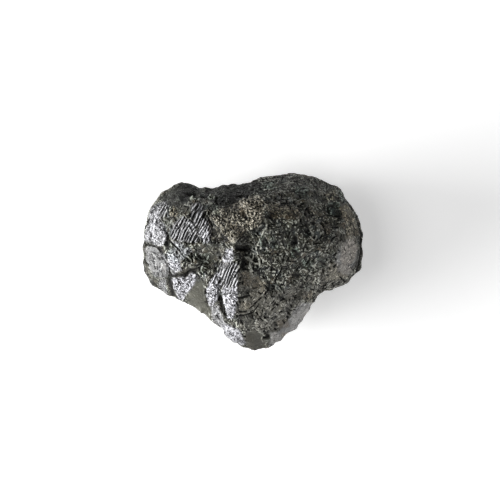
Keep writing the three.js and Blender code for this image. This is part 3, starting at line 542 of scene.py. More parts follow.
# Ridges stand up, and their crests are painted paler as a highlight. Each is half width, strength, path.
RIDGES = {
    "left cap": [
        (1, 0.8, 154.5, 204.5, 156.3, 202, 158.3, 200), (1.2, 0.9, 157.3, 206.8, 158.8, 208),
        (1, 0.7, 153.2, 208, 154.3, 208.6), (1.1, 0.8, 156, 216.5, 157.5, 217.5),
        (1, 1, 165.7, 211.5, 163.6, 215, 161.2, 219), (0.8, 0.8, 163.6, 208.5, 161.5, 213, 160.3, 216),
        (1.1, 0.8, 166.8, 208.5, 168.6, 212), (0.7, 0.6, 174.8, 206, 172.3, 210, 169.5, 215.5),
        (0.6, 0.4, 176, 207, 179.5, 213), (1.3, 1, 193, 197, 191.6, 199.2),
        (1.1, 1, 193, 200.2, 193.6, 200.5), (0.8, 0.6, 196.5, 199.5, 195.2, 202),
        (0.8, 0.6, 199.5, 200, 198, 201.6), (0.9, 0.9, 184, 213.5, 185.8, 216.3, 188, 218.5),
        (0.9, 0.9, 184.5, 216.5, 183.3, 218.7), (0.9, 0.7, 182.8, 211.5, 181.5, 214, 180.2, 215.3),
        (0.7, 0.6, 188, 209, 186, 212), (1, 0.6, 188.8, 219.5, 189, 221),
    ],
    "left flank": [
        (1.3, 1, 156, 220, 155, 222), (1.2, 0.8, 165, 222, 166, 224.5),
        (0.7, 0.6, 159.8, 217, 162, 220, 164.5, 224), (1.2, 0.9, 153.5, 226, 151.5, 229, 150.5, 231),
        (1.3, 1, 155, 225, 154.5, 229, 153.5, 233, 153, 238), (1, 0.8, 147, 231.5, 148.3, 233.5),
        (1, 0.8, 146, 235, 148.2, 239), (1.2, 0.9, 157.5, 226, 158.5, 229),
        (1.1, 0.9, 157.5, 237, 157, 240), (1, 0.9, 162, 227, 163.5, 229), (1.1, 0.9, 161, 232, 162, 234),
        (1.3, 0.9, 166.5, 236.5, 165, 239, 164, 241),
        (1.2, 1, 158.5, 245.2, 161, 244.6, 163.5, 244, 165, 245), (0.9, 1, 161.5, 247, 163.2, 247.4),
    ],
    "left foot": [
        (0.8, 0.7, 149, 247.5, 152, 247, 155, 247.6, 157.5, 248.8, 160, 252),
        (1.1, 0.8, 153, 253, 155.5, 256, 157.5, 258.5), (1, 0.9, 155, 260, 156, 260.8),
        (1.2, 0.7, 147.8, 267, 149.5, 268), (0.8, 0.5, 146, 256, 149.5, 258.5),
        (1.2, 0.9, 162.8, 265, 161.8, 268, 160.8, 270.5), (0.9, 0.6, 159.5, 264, 158.8, 268),
        (1, 0.7, 165.5, 266, 166, 272), (1, 0.7, 161.3, 272, 162.2, 274), (1, 0.7, 155.3, 275, 156, 277),
        (1, 0.7, 158.3, 279, 159.5, 279.6), (1.3, 1, 168, 253.5, 169, 254),
        (1.2, 0.9, 168.5, 257, 169, 260), (1, 0.9, 171, 254.5, 173.5, 254),
        (1, 0.9, 174, 255.5, 174.2, 259), (1.2, 1, 169, 261.5, 172, 264, 175.5, 266),
        (1, 0.9, 170.5, 266, 173, 268.3, 174.8, 269.5), (1, 0.8, 176, 263.5, 178, 266, 180, 270),
        (1, 0.8, 171.3, 270, 173.3, 274), (1.1, 0.9, 176, 260, 178.5, 261),
        (0.8, 1, 179.5, 270.5, 181.5, 272.2), (0.6, 0.7, 181.5, 272.2, 183.5, 274, 185, 275.3),
    ],
    "left diagonal": [
        (0.8, 1, 178.5, 250.5, 180.3, 253, 182.5, 255.3, 185, 257.8),
        (0.6, 0.8, 185, 257.8, 184, 260, 183, 261), (0.6, 0.7, 187, 258.5, 186, 260.5),
        (0.8, 0.9, 171, 243, 172.5, 245, 172.7, 248), (0.9, 1, 170.3, 235.5, 172, 238, 173.3, 240),
        (1, 0.9, 173.5, 240.5, 175.5, 240.5), (1.1, 0.9, 176.3, 241.5, 177.8, 243.5, 178.8, 246.5),
        (1.2, 0.8, 182.3, 246, 181.4, 249), (1.2, 0.9, 186.5, 250, 186.2, 253.5, 184, 255),
        (1, 0.7, 189, 245, 188.8, 249, 190, 251.3, 192.5, 251.8), (1.2, 1, 193.3, 246.3, 193.8, 246.6),
        (1.1, 1, 195, 249.5, 195.5, 249.6), (1.3, 0.8, 197, 241, 195.8, 245),
        (0.9, 0.9, 193, 253, 194, 256, 197, 258.8), (0.8, 0.8, 196, 250.5, 196.3, 254, 197.3, 256.5),
        (1, 0.9, 194.8, 258.5, 195, 261),
        (0.9, 0.9, 188, 256, 190, 258.3, 192, 260.5, 192.8, 263, 191.2, 265),
    ],
    "middle striated block": [
        (1.1, 1, 173.9, 223.2, 174.4, 223.8), (1, 1, 174.8, 225.2, 176.8, 227.3, 178.5, 228.3),
        (0.8, 0.9, 182.3, 221.5, 180.5, 225.5, 178.5, 228), (0.7, 0.8, 180, 222, 178.5, 225),
        (0.8, 0.9, 185.8, 221.5, 184, 225.5, 182, 229, 180.8, 230.5),
        (1.1, 1, 183.2, 229.5, 182, 232.5, 181, 234.8),
        (0.7, 0.7, 187.8, 224, 186, 228.5, 183.8, 234, 182, 238),
        (0.9, 0.9, 175.6, 231, 176.3, 233.5, 177, 235),
        (1, 0.9, 179.3, 230, 178.2, 234, 176.2, 237.5, 174.4, 239),
        (0.7, 0.7, 188.3, 229, 186.3, 234, 184.5, 239), (0.9, 0.8, 181.6, 236.5, 180.8, 239),
        (0.7, 0.7, 190.7, 230.5, 189, 235, 187, 239.5), (0.8, 0.8, 189.6, 238, 188.6, 241),
        (0.6, 0.6, 192.8, 234, 191, 237), (1.2, 1, 188.3, 222.6, 190, 223, 192, 223.8),
        (0.9, 0.9, 192, 223.8, 194, 225.5, 195.2, 228.5), (0.9, 0.9, 188.7, 226.6, 190.2, 229.5, 192, 231),
        (1.3, 1, 194.2, 231.3, 195.5, 231.8),
        (1, 0.95, 195.5, 231.8, 197.8, 234.3, 199.3, 236.8, 199.8, 238.8),
        (0.8, 0.8, 196.8, 236.5, 195, 239.8, 193.2, 242),
    ],
    "right striated block": [
        (1, 0.9, 194.2, 205, 193.3, 208), (1.4, 0.55, 197.5, 204, 196.5, 207.5),
        (0.9, 0.9, 195.8, 208, 194.6, 212, 193, 217.8), (0.9, 0.8, 201, 206.5, 200, 209.5, 198.5, 212.5),
        (1, 0.8, 198.8, 213, 197.6, 218, 196, 222), (1.3, 0.5, 196.3, 214, 195, 219),
        (1.3, 0.9, 202.5, 212, 202, 215), (1.1, 0.9, 201.3, 217.2, 202.2, 219),
        (0.7, 0.7, 200, 219, 198, 224, 196.8, 229.5), (1.1, 1, 204.8, 219.5, 203.6, 223, 202.6, 226),
        (0.9, 0.8, 201.8, 228, 200.8, 233, 199.8, 236), (0.9, 0.8, 203.6, 227, 202.8, 231.5, 201.3, 234.5),
        (1, 0.9, 209.2, 226, 208, 229, 207.3, 230.5), (0.8, 0.8, 206.8, 221.5, 206.4, 224),
        (0.7, 0.7, 208.8, 222.5, 208.5, 224), (1, 0.9, 210.5, 224, 211, 225.5),
        (1.1, 0.9, 204.3, 231, 205, 231.6),
        (1.6, 1, 208.8, 231.5, 207.8, 233.5, 205.5, 234.3, 203.5, 235.8),
        (1.4, 1, 203.5, 237, 205.5, 236.2), (1, 1, 204.8, 239, 204.4, 241.5),
        (1, 0.9, 205.5, 242.8, 203.5, 244.2), (0.9, 0.9, 209.3, 238, 208.8, 241, 207.6, 243),
        (0.9, 0.7, 201.2, 238.5, 201.2, 242), (0.7, 0.6, 211, 228, 212, 231),
    ],
    "upper middle": [
        (0.8, 0.6, 203.5, 202, 205.5, 205), (0.9, 0.6, 207.5, 193, 208, 194),
        (1.3, 0.6, 209, 195.8, 211, 195.5), (0.6, 0.6, 213.6, 195.5, 212.4, 198.3),
        (0.8, 0.8, 215.6, 196, 215, 198.5, 214.2, 199.6), (0.9, 0.9, 213.8, 202.5, 215.5, 203.2),
        (0.9, 0.8, 207.2, 206, 208, 206.6), (0.8, 0.6, 212.5, 209, 211.8, 211),
        (1, 0.7, 208.3, 212.5, 207.8, 214.5), (0.8, 0.7, 212, 215.5, 210.8, 218.5, 211.6, 220.4),
        (0.9, 0.6, 215, 216, 216.2, 217.5), (1.2, 0.8, 251.3, 184.5, 251.3, 187.3),
        (1.1, 0.7, 242.5, 190, 242.3, 193.5), (1, 0.8, 256.5, 193, 257.5, 194.5),
        (1.1, 0.8, 254.2, 191.5, 254.4, 192.4), (1.2, 0.9, 258.6, 196.5, 259, 197.2),
    ],
    "crown": [
        (1.1, 0.9, 211.2, 220, 211.8, 220.6), (0.6, 0.5, 212.5, 221.5, 215, 223.3),
        (0.9, 1, 215.3, 223.6, 217.3, 225.8, 219.3, 227.3), (1, 0.8, 217.8, 220.5, 217, 223),
        (1.1, 0.7, 219.5, 228.8, 221.3, 230.5, 223, 233), (1.2, 0.9, 221.3, 212, 223, 213.7, 224.5, 213.8),
        (0.7, 0.7, 226, 211.5, 227.3, 214.5), (1.3, 1, 228.7, 216.5, 229.2, 217),
        (0.9, 0.9, 228.3, 223, 226.8, 225.5, 226.3, 227), (1.4, 0.6, 224, 227.5, 222, 229),
        (1.2, 1, 228.4, 232, 228.7, 233.5), (1, 0.8, 234, 230, 232, 231.5, 230.8, 233.5),
        (0.9, 0.8, 231.6, 235, 230.8, 237), (1.2, 1, 236.2, 235.3, 236, 236.5),
        (1, 0.8, 233.3, 238.7, 234, 240),
        (1.3, 0.9, 238.2, 238.8, 236.8, 240.5, 235, 242.5, 232.5, 241.5, 230.8, 240),
        (1.2, 0.5, 233, 234, 234.5, 236), (0.9, 0.8, 230, 207, 229.8, 209),
        (1.3, 0.8, 234.8, 206, 234.2, 208), (1, 0.9, 236, 211.5, 237.3, 213.2),
        (1.2, 0.8, 233, 214.5, 233.2, 217, 234.6, 219.8), (1, 0.7, 230.2, 219, 230.6, 221),
        (0.9, 0.7, 238.3, 218, 238.5, 219.5), (1.6, 0.9, 240.8, 200, 240.2, 202),
        (1.4, 1, 243.3, 198.3, 243.8, 199), (1.1, 0.9, 240.8, 203.4, 241.6, 203.7),
        (1, 0.9, 243.5, 202, 245, 204), (1.1, 1, 247.2, 204.2, 247.6, 204.8),
        (1, 0.8, 243.2, 206, 244.5, 206.4), (1.2, 0.8, 246.3, 195, 245.7, 196.6),
        (1, 0.8, 249.6, 195.5, 249, 198), (1.2, 1, 251, 207.8, 251.4, 208.3),
        (1.1, 0.9, 246.5, 210.5, 246.5, 213.5, 247.5, 216), (1.7, 1, 250.2, 214.7, 250.4, 215),
        (1.3, 0.9, 250, 211.8, 254, 212.3, 256, 211, 257.3, 209),
        (1, 0.7, 248.8, 216, 252, 217.5, 253, 220), (1, 0.7, 256.8, 212, 259.5, 214.5, 261, 217),
        (1, 0.7, 242.3, 219.7, 244, 219.5), (1.2, 0.9, 246.5, 221.6, 248.2, 222.6),
        (1, 0.9, 253.5, 221, 252, 223.3), (1, 0.8, 256, 222.7, 254.5, 224.3),
        (0.9, 0.8, 256.5, 219.6, 257.5, 221, 259, 223), (1, 0.8, 261, 220.5, 260, 223),
        (0.9, 0.8, 250, 224.5, 251, 225.4), (1.2, 0.7, 243, 225.6, 243.5, 227),
        (1.3, 0.9, 251, 229, 252, 229.2),
    ],
    "upper right": [
        (1.2, 1, 268.8, 198.6, 269.2, 199.2), (1, 0.8, 264.4, 199.5, 264.6, 200),
        (0.9, 0.8, 265.5, 192.3, 266, 192.7), (1, 0.8, 262, 201, 262.8, 202),
        (1.1, 0.8, 266, 205.2, 267.2, 206), (1.5, 0.6, 272, 200.5, 271.2, 204.5),
        (0.9, 0.7, 263.5, 208.5, 263.9, 210), (1.1, 0.8, 272.5, 196, 272.9, 196.8),
        (1.1, 0.7, 276.7, 186, 276.9, 186.6), (1, 0.7, 274.5, 181.2, 274.6, 182),
        (1.1, 0.8, 277, 194.5, 277.3, 195.2), (1, 0.9, 264.4, 220.5, 265.2, 223),
        (1.5, 1, 266.8, 225.3, 266.3, 228, 265.8, 229.4), (1.3, 0.9, 266.8, 230.3, 267, 231.6),
        (1, 0.7, 269, 231.6, 269.9, 231.9),
    ],
    "hollow": [
        (0.9, 1.35, 264, 231, 262.3, 234.5, 260.6, 238, 259.3, 239.8),
        (1.1, 1.5, 260.3, 241, 261.3, 243, 261.2, 244.6, 260.5, 245.8), (1.1, 1.5, 258, 245, 258.4, 245.4),
        (1, 1.35, 258.1, 236.1, 258.6, 236.3), (0.9, 1.5, 256.5, 247, 256.3, 249.5),
        (1, 1.35, 257.2, 252, 256.9, 254.5), (0.8, 1.35, 257, 255.5, 258.5, 257.5, 259.4, 259.5),
        (1.1, 1.5, 259.4, 260, 259.4, 263.5), (0.9, 1.2, 259.7, 264.5, 259.7, 267),
        (1.4, 1.5, 247.4, 257.3, 248.7, 257.6, 249.8, 259.8),
        (1, 1.35, 249.8, 260, 252.5, 262, 254, 263, 257.5, 263.5), (0.9, 1.2, 249.9, 261, 249.6, 264),
        (1.2, 1.5, 249.8, 265, 250.6, 266.8), (1.2, 1.2, 248.6, 267.4, 249.3, 268),
        (1.1, 1.2, 251.3, 268.7, 252.5, 270.5), (0.9, 1.2, 251.2, 252, 250.4, 255),
        (1.1, 1.5, 253.4, 253.5, 253.7, 254), (0.8, 1.2, 253.6, 254.8, 253, 257.5, 251.8, 260),
        (0.6, 0.6, 246.5, 229, 249.5, 232, 252.5, 236, 256, 239.5), (0.6, 0.5, 247.7, 234, 250, 239),
        (0.9, 0.6, 242.8, 234.5, 243.3, 235), (0.6, 0.45, 246, 240.5, 249.5, 243.5, 252.5, 246),
        (0.9, 0.7, 251.5, 245.5, 253, 247), (0.9, 0.6, 265.5, 236, 267.5, 240, 270.3, 245.5),
        (0.7, 0.5, 271.5, 234.5, 273.5, 239, 274.8, 243), (1.5, 0.45, 271, 244, 273.5, 249),
        (0.9, 1.2, 275.5, 232.3, 276, 232.6),
    ],
    "pale columns": [
        (0.9, 0.9, 225.5, 242.5, 227.3, 244.8, 229.5, 247.3),
        (0.8, 0.8, 229.5, 247.3, 231.5, 248.3, 234, 248),
        (1.2, 0.9, 228.2, 249.5, 227.6, 252.5, 227.2, 256), (1, 0.9, 230, 250.5, 229.3, 254),
        (0.9, 1, 233, 250.5, 231.8, 252.5), (1.1, 0.9, 230.3, 255.5, 230.6, 258.5),
        (1.2, 0.9, 226.5, 260.5, 229.3, 260, 231.2, 262.8),
        (1.1, 0.9, 223.3, 256.5, 223.6, 259.5, 224.6, 261.5), (0.8, 0.8, 223, 263, 221.4, 267, 219.8, 270),
        (0.9, 1, 226.2, 263.5, 224.6, 267.5, 223.2, 271),
        (0.8, 1, 232.6, 265, 231, 269, 229.3, 272.5, 228.2, 276.5), (1.3, 1, 218.3, 267.5, 218.8, 270),
        (1.2, 1, 223.5, 271.3, 221, 273), (1, 1, 218, 273, 220, 275, 222.3, 277),
        (0.8, 0.9, 216.3, 275, 215, 278, 213, 281.5), (1.1, 0.9, 212.3, 279.5, 211.3, 283.5),
        (0.9, 0.9, 218.8, 277, 218, 279.5), (1.2, 1, 217.3, 281, 217.3, 283),
        (0.9, 1, 228.5, 276.5, 227, 280, 226, 283.5), (0.8, 0.9, 231, 276, 229.5, 280, 228, 284.5),
        (1.2, 1, 234.5, 275.5, 235, 279, 234.3, 283, 232.5, 286),
        (0.8, 0.8, 232.5, 281, 230.8, 284, 230, 287.5), (1.1, 1, 224, 285, 223.4, 288.5),
        (1.3, 1, 226.5, 285.8, 227, 288), (1, 1, 221.6, 289.5, 221.9, 291),
        (1, 1, 232.4, 288.8, 232.8, 289.6), (1.2, 1, 236.8, 287, 235.8, 289.5),
        (0.9, 1, 217.5, 288, 217, 290.5), (1.1, 1, 211.2, 287.3, 211.8, 287.8),
        (1, 0.9, 206.3, 286.5, 207, 290, 208.3, 292.5), (0.8, 0.8, 206.4, 294, 207.3, 297),
        (1.1, 1, 217.2, 296, 216.5, 300), (1, 0.9, 210.6, 297.5, 210.9, 302),
        (1, 1, 208.6, 303.5, 209.8, 305), (0.9, 0.9, 214.3, 301, 213.4, 304),
        (1.3, 1, 223.6, 295.5, 224.5, 299, 225.3, 303.5), (1.2, 0.8, 225.2, 305, 225.8, 309.5, 226.2, 312),
        (1.2, 1, 228.5, 305.5, 228.4, 306.5), (1.2, 1, 233.5, 309, 233.2, 310.3),
        (1.2, 0.9, 227.8, 311, 228.2, 312.5), (1.1, 1, 227.5, 316.5, 228, 316.8),
        (1.1, 0.9, 231.8, 312, 232.5, 314), (1, 0.9, 237.3, 261.5, 236.9, 263),
        (0.9, 0.9, 240, 261, 239.3, 263.5), (1.3, 1, 237, 264.5, 238.5, 265.3),
        (0.9, 0.9, 239.6, 266.3, 238.5, 268), (1.3, 1, 237.5, 269, 236.6, 270, 235.3, 270.2),
        (1, 0.8, 234.3, 272.8, 236.5, 273.3),
    ],
    "toothed shell": [
        (1, 1.26, 209, 256.2, 207.6, 258.8), (1, 1.4, 205, 262, 206.8, 261, 208.8, 262.8),
        (1, 1.4, 204.6, 263.5, 202.6, 266, 202, 268.3), (0.9, 1.26, 201.5, 270, 202.8, 272, 203.4, 273.2),
        (0.7, 0.84, 204.8, 265, 207.5, 264.8), (0.7, 0.84, 204.5, 267, 207.8, 268.6),
        (0.7, 0.7, 204.2, 270, 207.3, 270.6), (0.7, 0.84, 211, 252, 213.8, 254.5),
    ],
    "pale triangle": [
        (1.2, 1, 173.3, 278, 175.5, 277.8), (1.2, 1, 177.5, 282, 178, 282.4),
        (1, 0.9, 181, 278.3, 182, 278.8), (0.9, 0.9, 190.8, 273.3, 189, 276, 186.5, 278.3),
        (1.2, 1, 195.7, 274, 194.7, 277.5), (1.6, 1, 194, 280.5, 192.3, 282.5),
        (1.1, 1, 193.3, 284, 192.8, 284.8), (1, 1, 186.3, 286, 188, 287.5, 186.3, 289.7),
        (1.1, 1, 190, 284.3, 190.7, 287, 188.5, 290, 186.5, 291.5), (1.2, 1, 181.4, 286.8, 182, 287.2),
        (1.1, 0.9, 174.6, 288.6, 177, 289, 178.5, 291.5), (1.2, 1, 180.6, 291.7, 182.5, 293.2),
        (1.1, 1, 186.2, 294.5, 186.6, 295), (0.9, 0.7, 177, 293, 178.5, 297),
        (1.2, 0.8, 182.5, 296, 182, 298), (0.8, 0.9, 173.5, 280, 174.3, 283, 174.8, 286),
    ],
    "lower left": [
        (1, 0.7, 212.5, 307, 213, 309.5), (1.1, 0.8, 216.8, 312, 216, 314),
        (1.2, 1, 220.2, 314.6, 221.5, 314), (0.9, 0.7, 217, 308, 217.5, 309),
        (1.3, 0.8, 212.5, 317, 215, 320), (1.6, 0.9, 227.3, 327.5, 226.8, 329.3),
        (1.1, 0.9, 229.5, 329, 231, 328), (1.2, 1, 232.7, 328, 233.3, 330.5),
        (1.2, 0.9, 236, 331, 238.7, 330.9, 240, 332.5), (0.9, 0.9, 235.2, 332.5, 235.8, 335),
        (1.1, 0.9, 231.5, 335, 231.3, 338), (1.1, 0.9, 241, 336.5, 242.2, 338.8),
        (1.2, 0.8, 237, 339.5, 236, 341.5), (1.1, 1, 241, 323, 241.3, 325),
        (0.8, 1, 243.2, 331.3, 242.6, 333, 243.9, 335, 245.3, 333.6, 244.8, 331.4, 243.2, 331.3),
        (1, 0.7, 232.5, 322, 234, 323),
    ],
    "right of the columns": [
        (0.8, 0.8, 240.1, 280.8, 240.5, 281.2), (0.9, 0.9, 246.3, 284.5, 247.6, 286.5),
        (0.7, 0.6, 250, 286, 253, 288.5, 256, 289.2, 258.5, 287.8), (1, 0.8, 243.3, 292, 243.9, 292.5),
        (0.8, 0.9, 264.5, 291, 263.2, 293.5, 262.5, 294.6), (0.8, 0.7, 258.4, 299.5, 257, 302.5),
        (0.9, 0.8, 264.8, 299, 263.5, 302.5), (0.8, 0.6, 256.5, 305.5, 254, 308, 251.8, 309.3),
        (0.9, 0.6, 255.6, 310, 254.5, 312), (0.8, 0.7, 273, 301.5, 271, 304.5),
        (0.6, 0.5, 239, 312, 243, 313, 247.5, 311.5), (1.2, 0.6, 272.5, 311.5, 271, 314.5),
        (1, 0.9, 263.2, 316.8, 262.5, 318), (0.9, 0.8, 254.3, 316, 254.6, 317),
        (0.9, 0.8, 257, 319.5, 255.4, 322.5), (0.8, 0.6, 258.8, 319.5, 259.5, 321.5, 258.3, 323.3),
        (0.7, 0.9, 259, 331, 261.5, 332.4, 264.8, 335.6), (0.8, 0.8, 262.4, 336, 261.2, 338.5, 263, 341.5),
        (0.9, 0.8, 267.8, 326.5, 268.5, 328.5, 266.5, 328.8), (0.8, 0.6, 271.8, 336, 271.3, 339.5),
        (0.8, 0.5, 272.5, 338, 272.8, 344), (0.8, 0.45, 277, 337, 277.3, 342),
        (1, 0.6, 262.5, 279.5, 264.5, 282, 266, 284.5), (1.1, 0.8, 281.5, 276, 283, 278.5),
        (1.1, 0.9, 286.3, 278, 286.7, 278.6), (1.2, 0.9, 285.3, 281.3, 284.8, 283.6),
        (0.7, 0.6, 279.8, 268.5, 278.8, 271.5, 276.5, 274.5), (0.9, 0.6, 265, 265, 267, 266.5),
    ],
    "right lobe": [
        (0.7, 0.7, 281.2, 247.8, 280.4, 249.2), (0.9, 0.7, 287.6, 233, 287.2, 234.5),
        (0.8, 0.7, 285.3, 236, 286.4, 237.6, 285.5, 239.2), (0.9, 0.6, 289.5, 241.5, 290, 243.5),
        (1, 0.6, 286, 252, 286.8, 255), (1.1, 0.9, 289.7, 257.7, 289.6, 258.8),
        (0.9, 0.6, 281.8, 256.5, 280.8, 259.5, 280, 262), (0.8, 0.7, 275.2, 260.5, 276.5, 262),
        (1, 0.9, 299.8, 277.5, 298.6, 279), (0.9, 1, 296.2, 280, 297, 280.7),
        (0.6, 0.7, 290.5, 278.5, 294, 278.8, 296, 280), (0.9, 0.9, 307, 288.8, 307.8, 290.3),
        (0.9, 0.8, 311.5, 290.5, 312.8, 291.5), (0.7, 0.6, 305.3, 281.5, 305.2, 284),
        (1, 0.9, 309, 229.5, 310, 231.8, 312, 233.5), (1.1, 1, 315.2, 236, 315.4, 237.3),
        (1.1, 1, 331.5, 218.5, 332.3, 220.6), (1.1, 1, 347.6, 233.2, 347, 234.3),
        (1, 0.8, 303.3, 227.5, 304.3, 228), (0.7, 0.7, 302, 214, 303.5, 212, 305.3, 209.8),
        (0.8, 0.7, 303.8, 216.5, 304, 218), (0.7, 0.6, 301.5, 220.5, 301, 223.5),
        (1, 0.6, 308, 222.5, 310, 226), (0.9, 0.6, 316.5, 217, 316.2, 219),
        (0.9, 0.8, 311.6, 243.6, 311.4, 244.4), (0.8, 0.7, 306, 243.5, 309, 243.2),
        (0.7, 0.5, 320.5, 231, 322.3, 235), (0.8, 0.5, 331.5, 228.5, 334.8, 228.5),
        (0.8, 0.6, 330.5, 237, 333, 233), (1.1, 0.7, 333.5, 251.5, 332.8, 253.5),
        (1.5, 0.5, 332.5, 201, 331, 197.5), (1.2, 0.5, 335.5, 191, 334.8, 196),
        (1, 0.7, 326.8, 190.2, 327.8, 189), (1, 0.6, 312.8, 182, 313.5, 184),
        (1.1, 0.6, 319.8, 203.5, 319.2, 206), (0.9, 0.6, 325.8, 207, 326, 209.5),
        (0.8, 0.6, 317, 254, 316.5, 259), (0.7, 0.6, 306, 258.5, 308, 257.2, 310, 259.5, 309, 263),
        (0.9, 0.7, 295, 268, 296.5, 266.5, 297.8, 265), (0.9, 0.6, 301.5, 270.5, 303, 271.5),
        (0.9, 0.7, 321.2, 267.5, 321.5, 268.6),
    ],
}
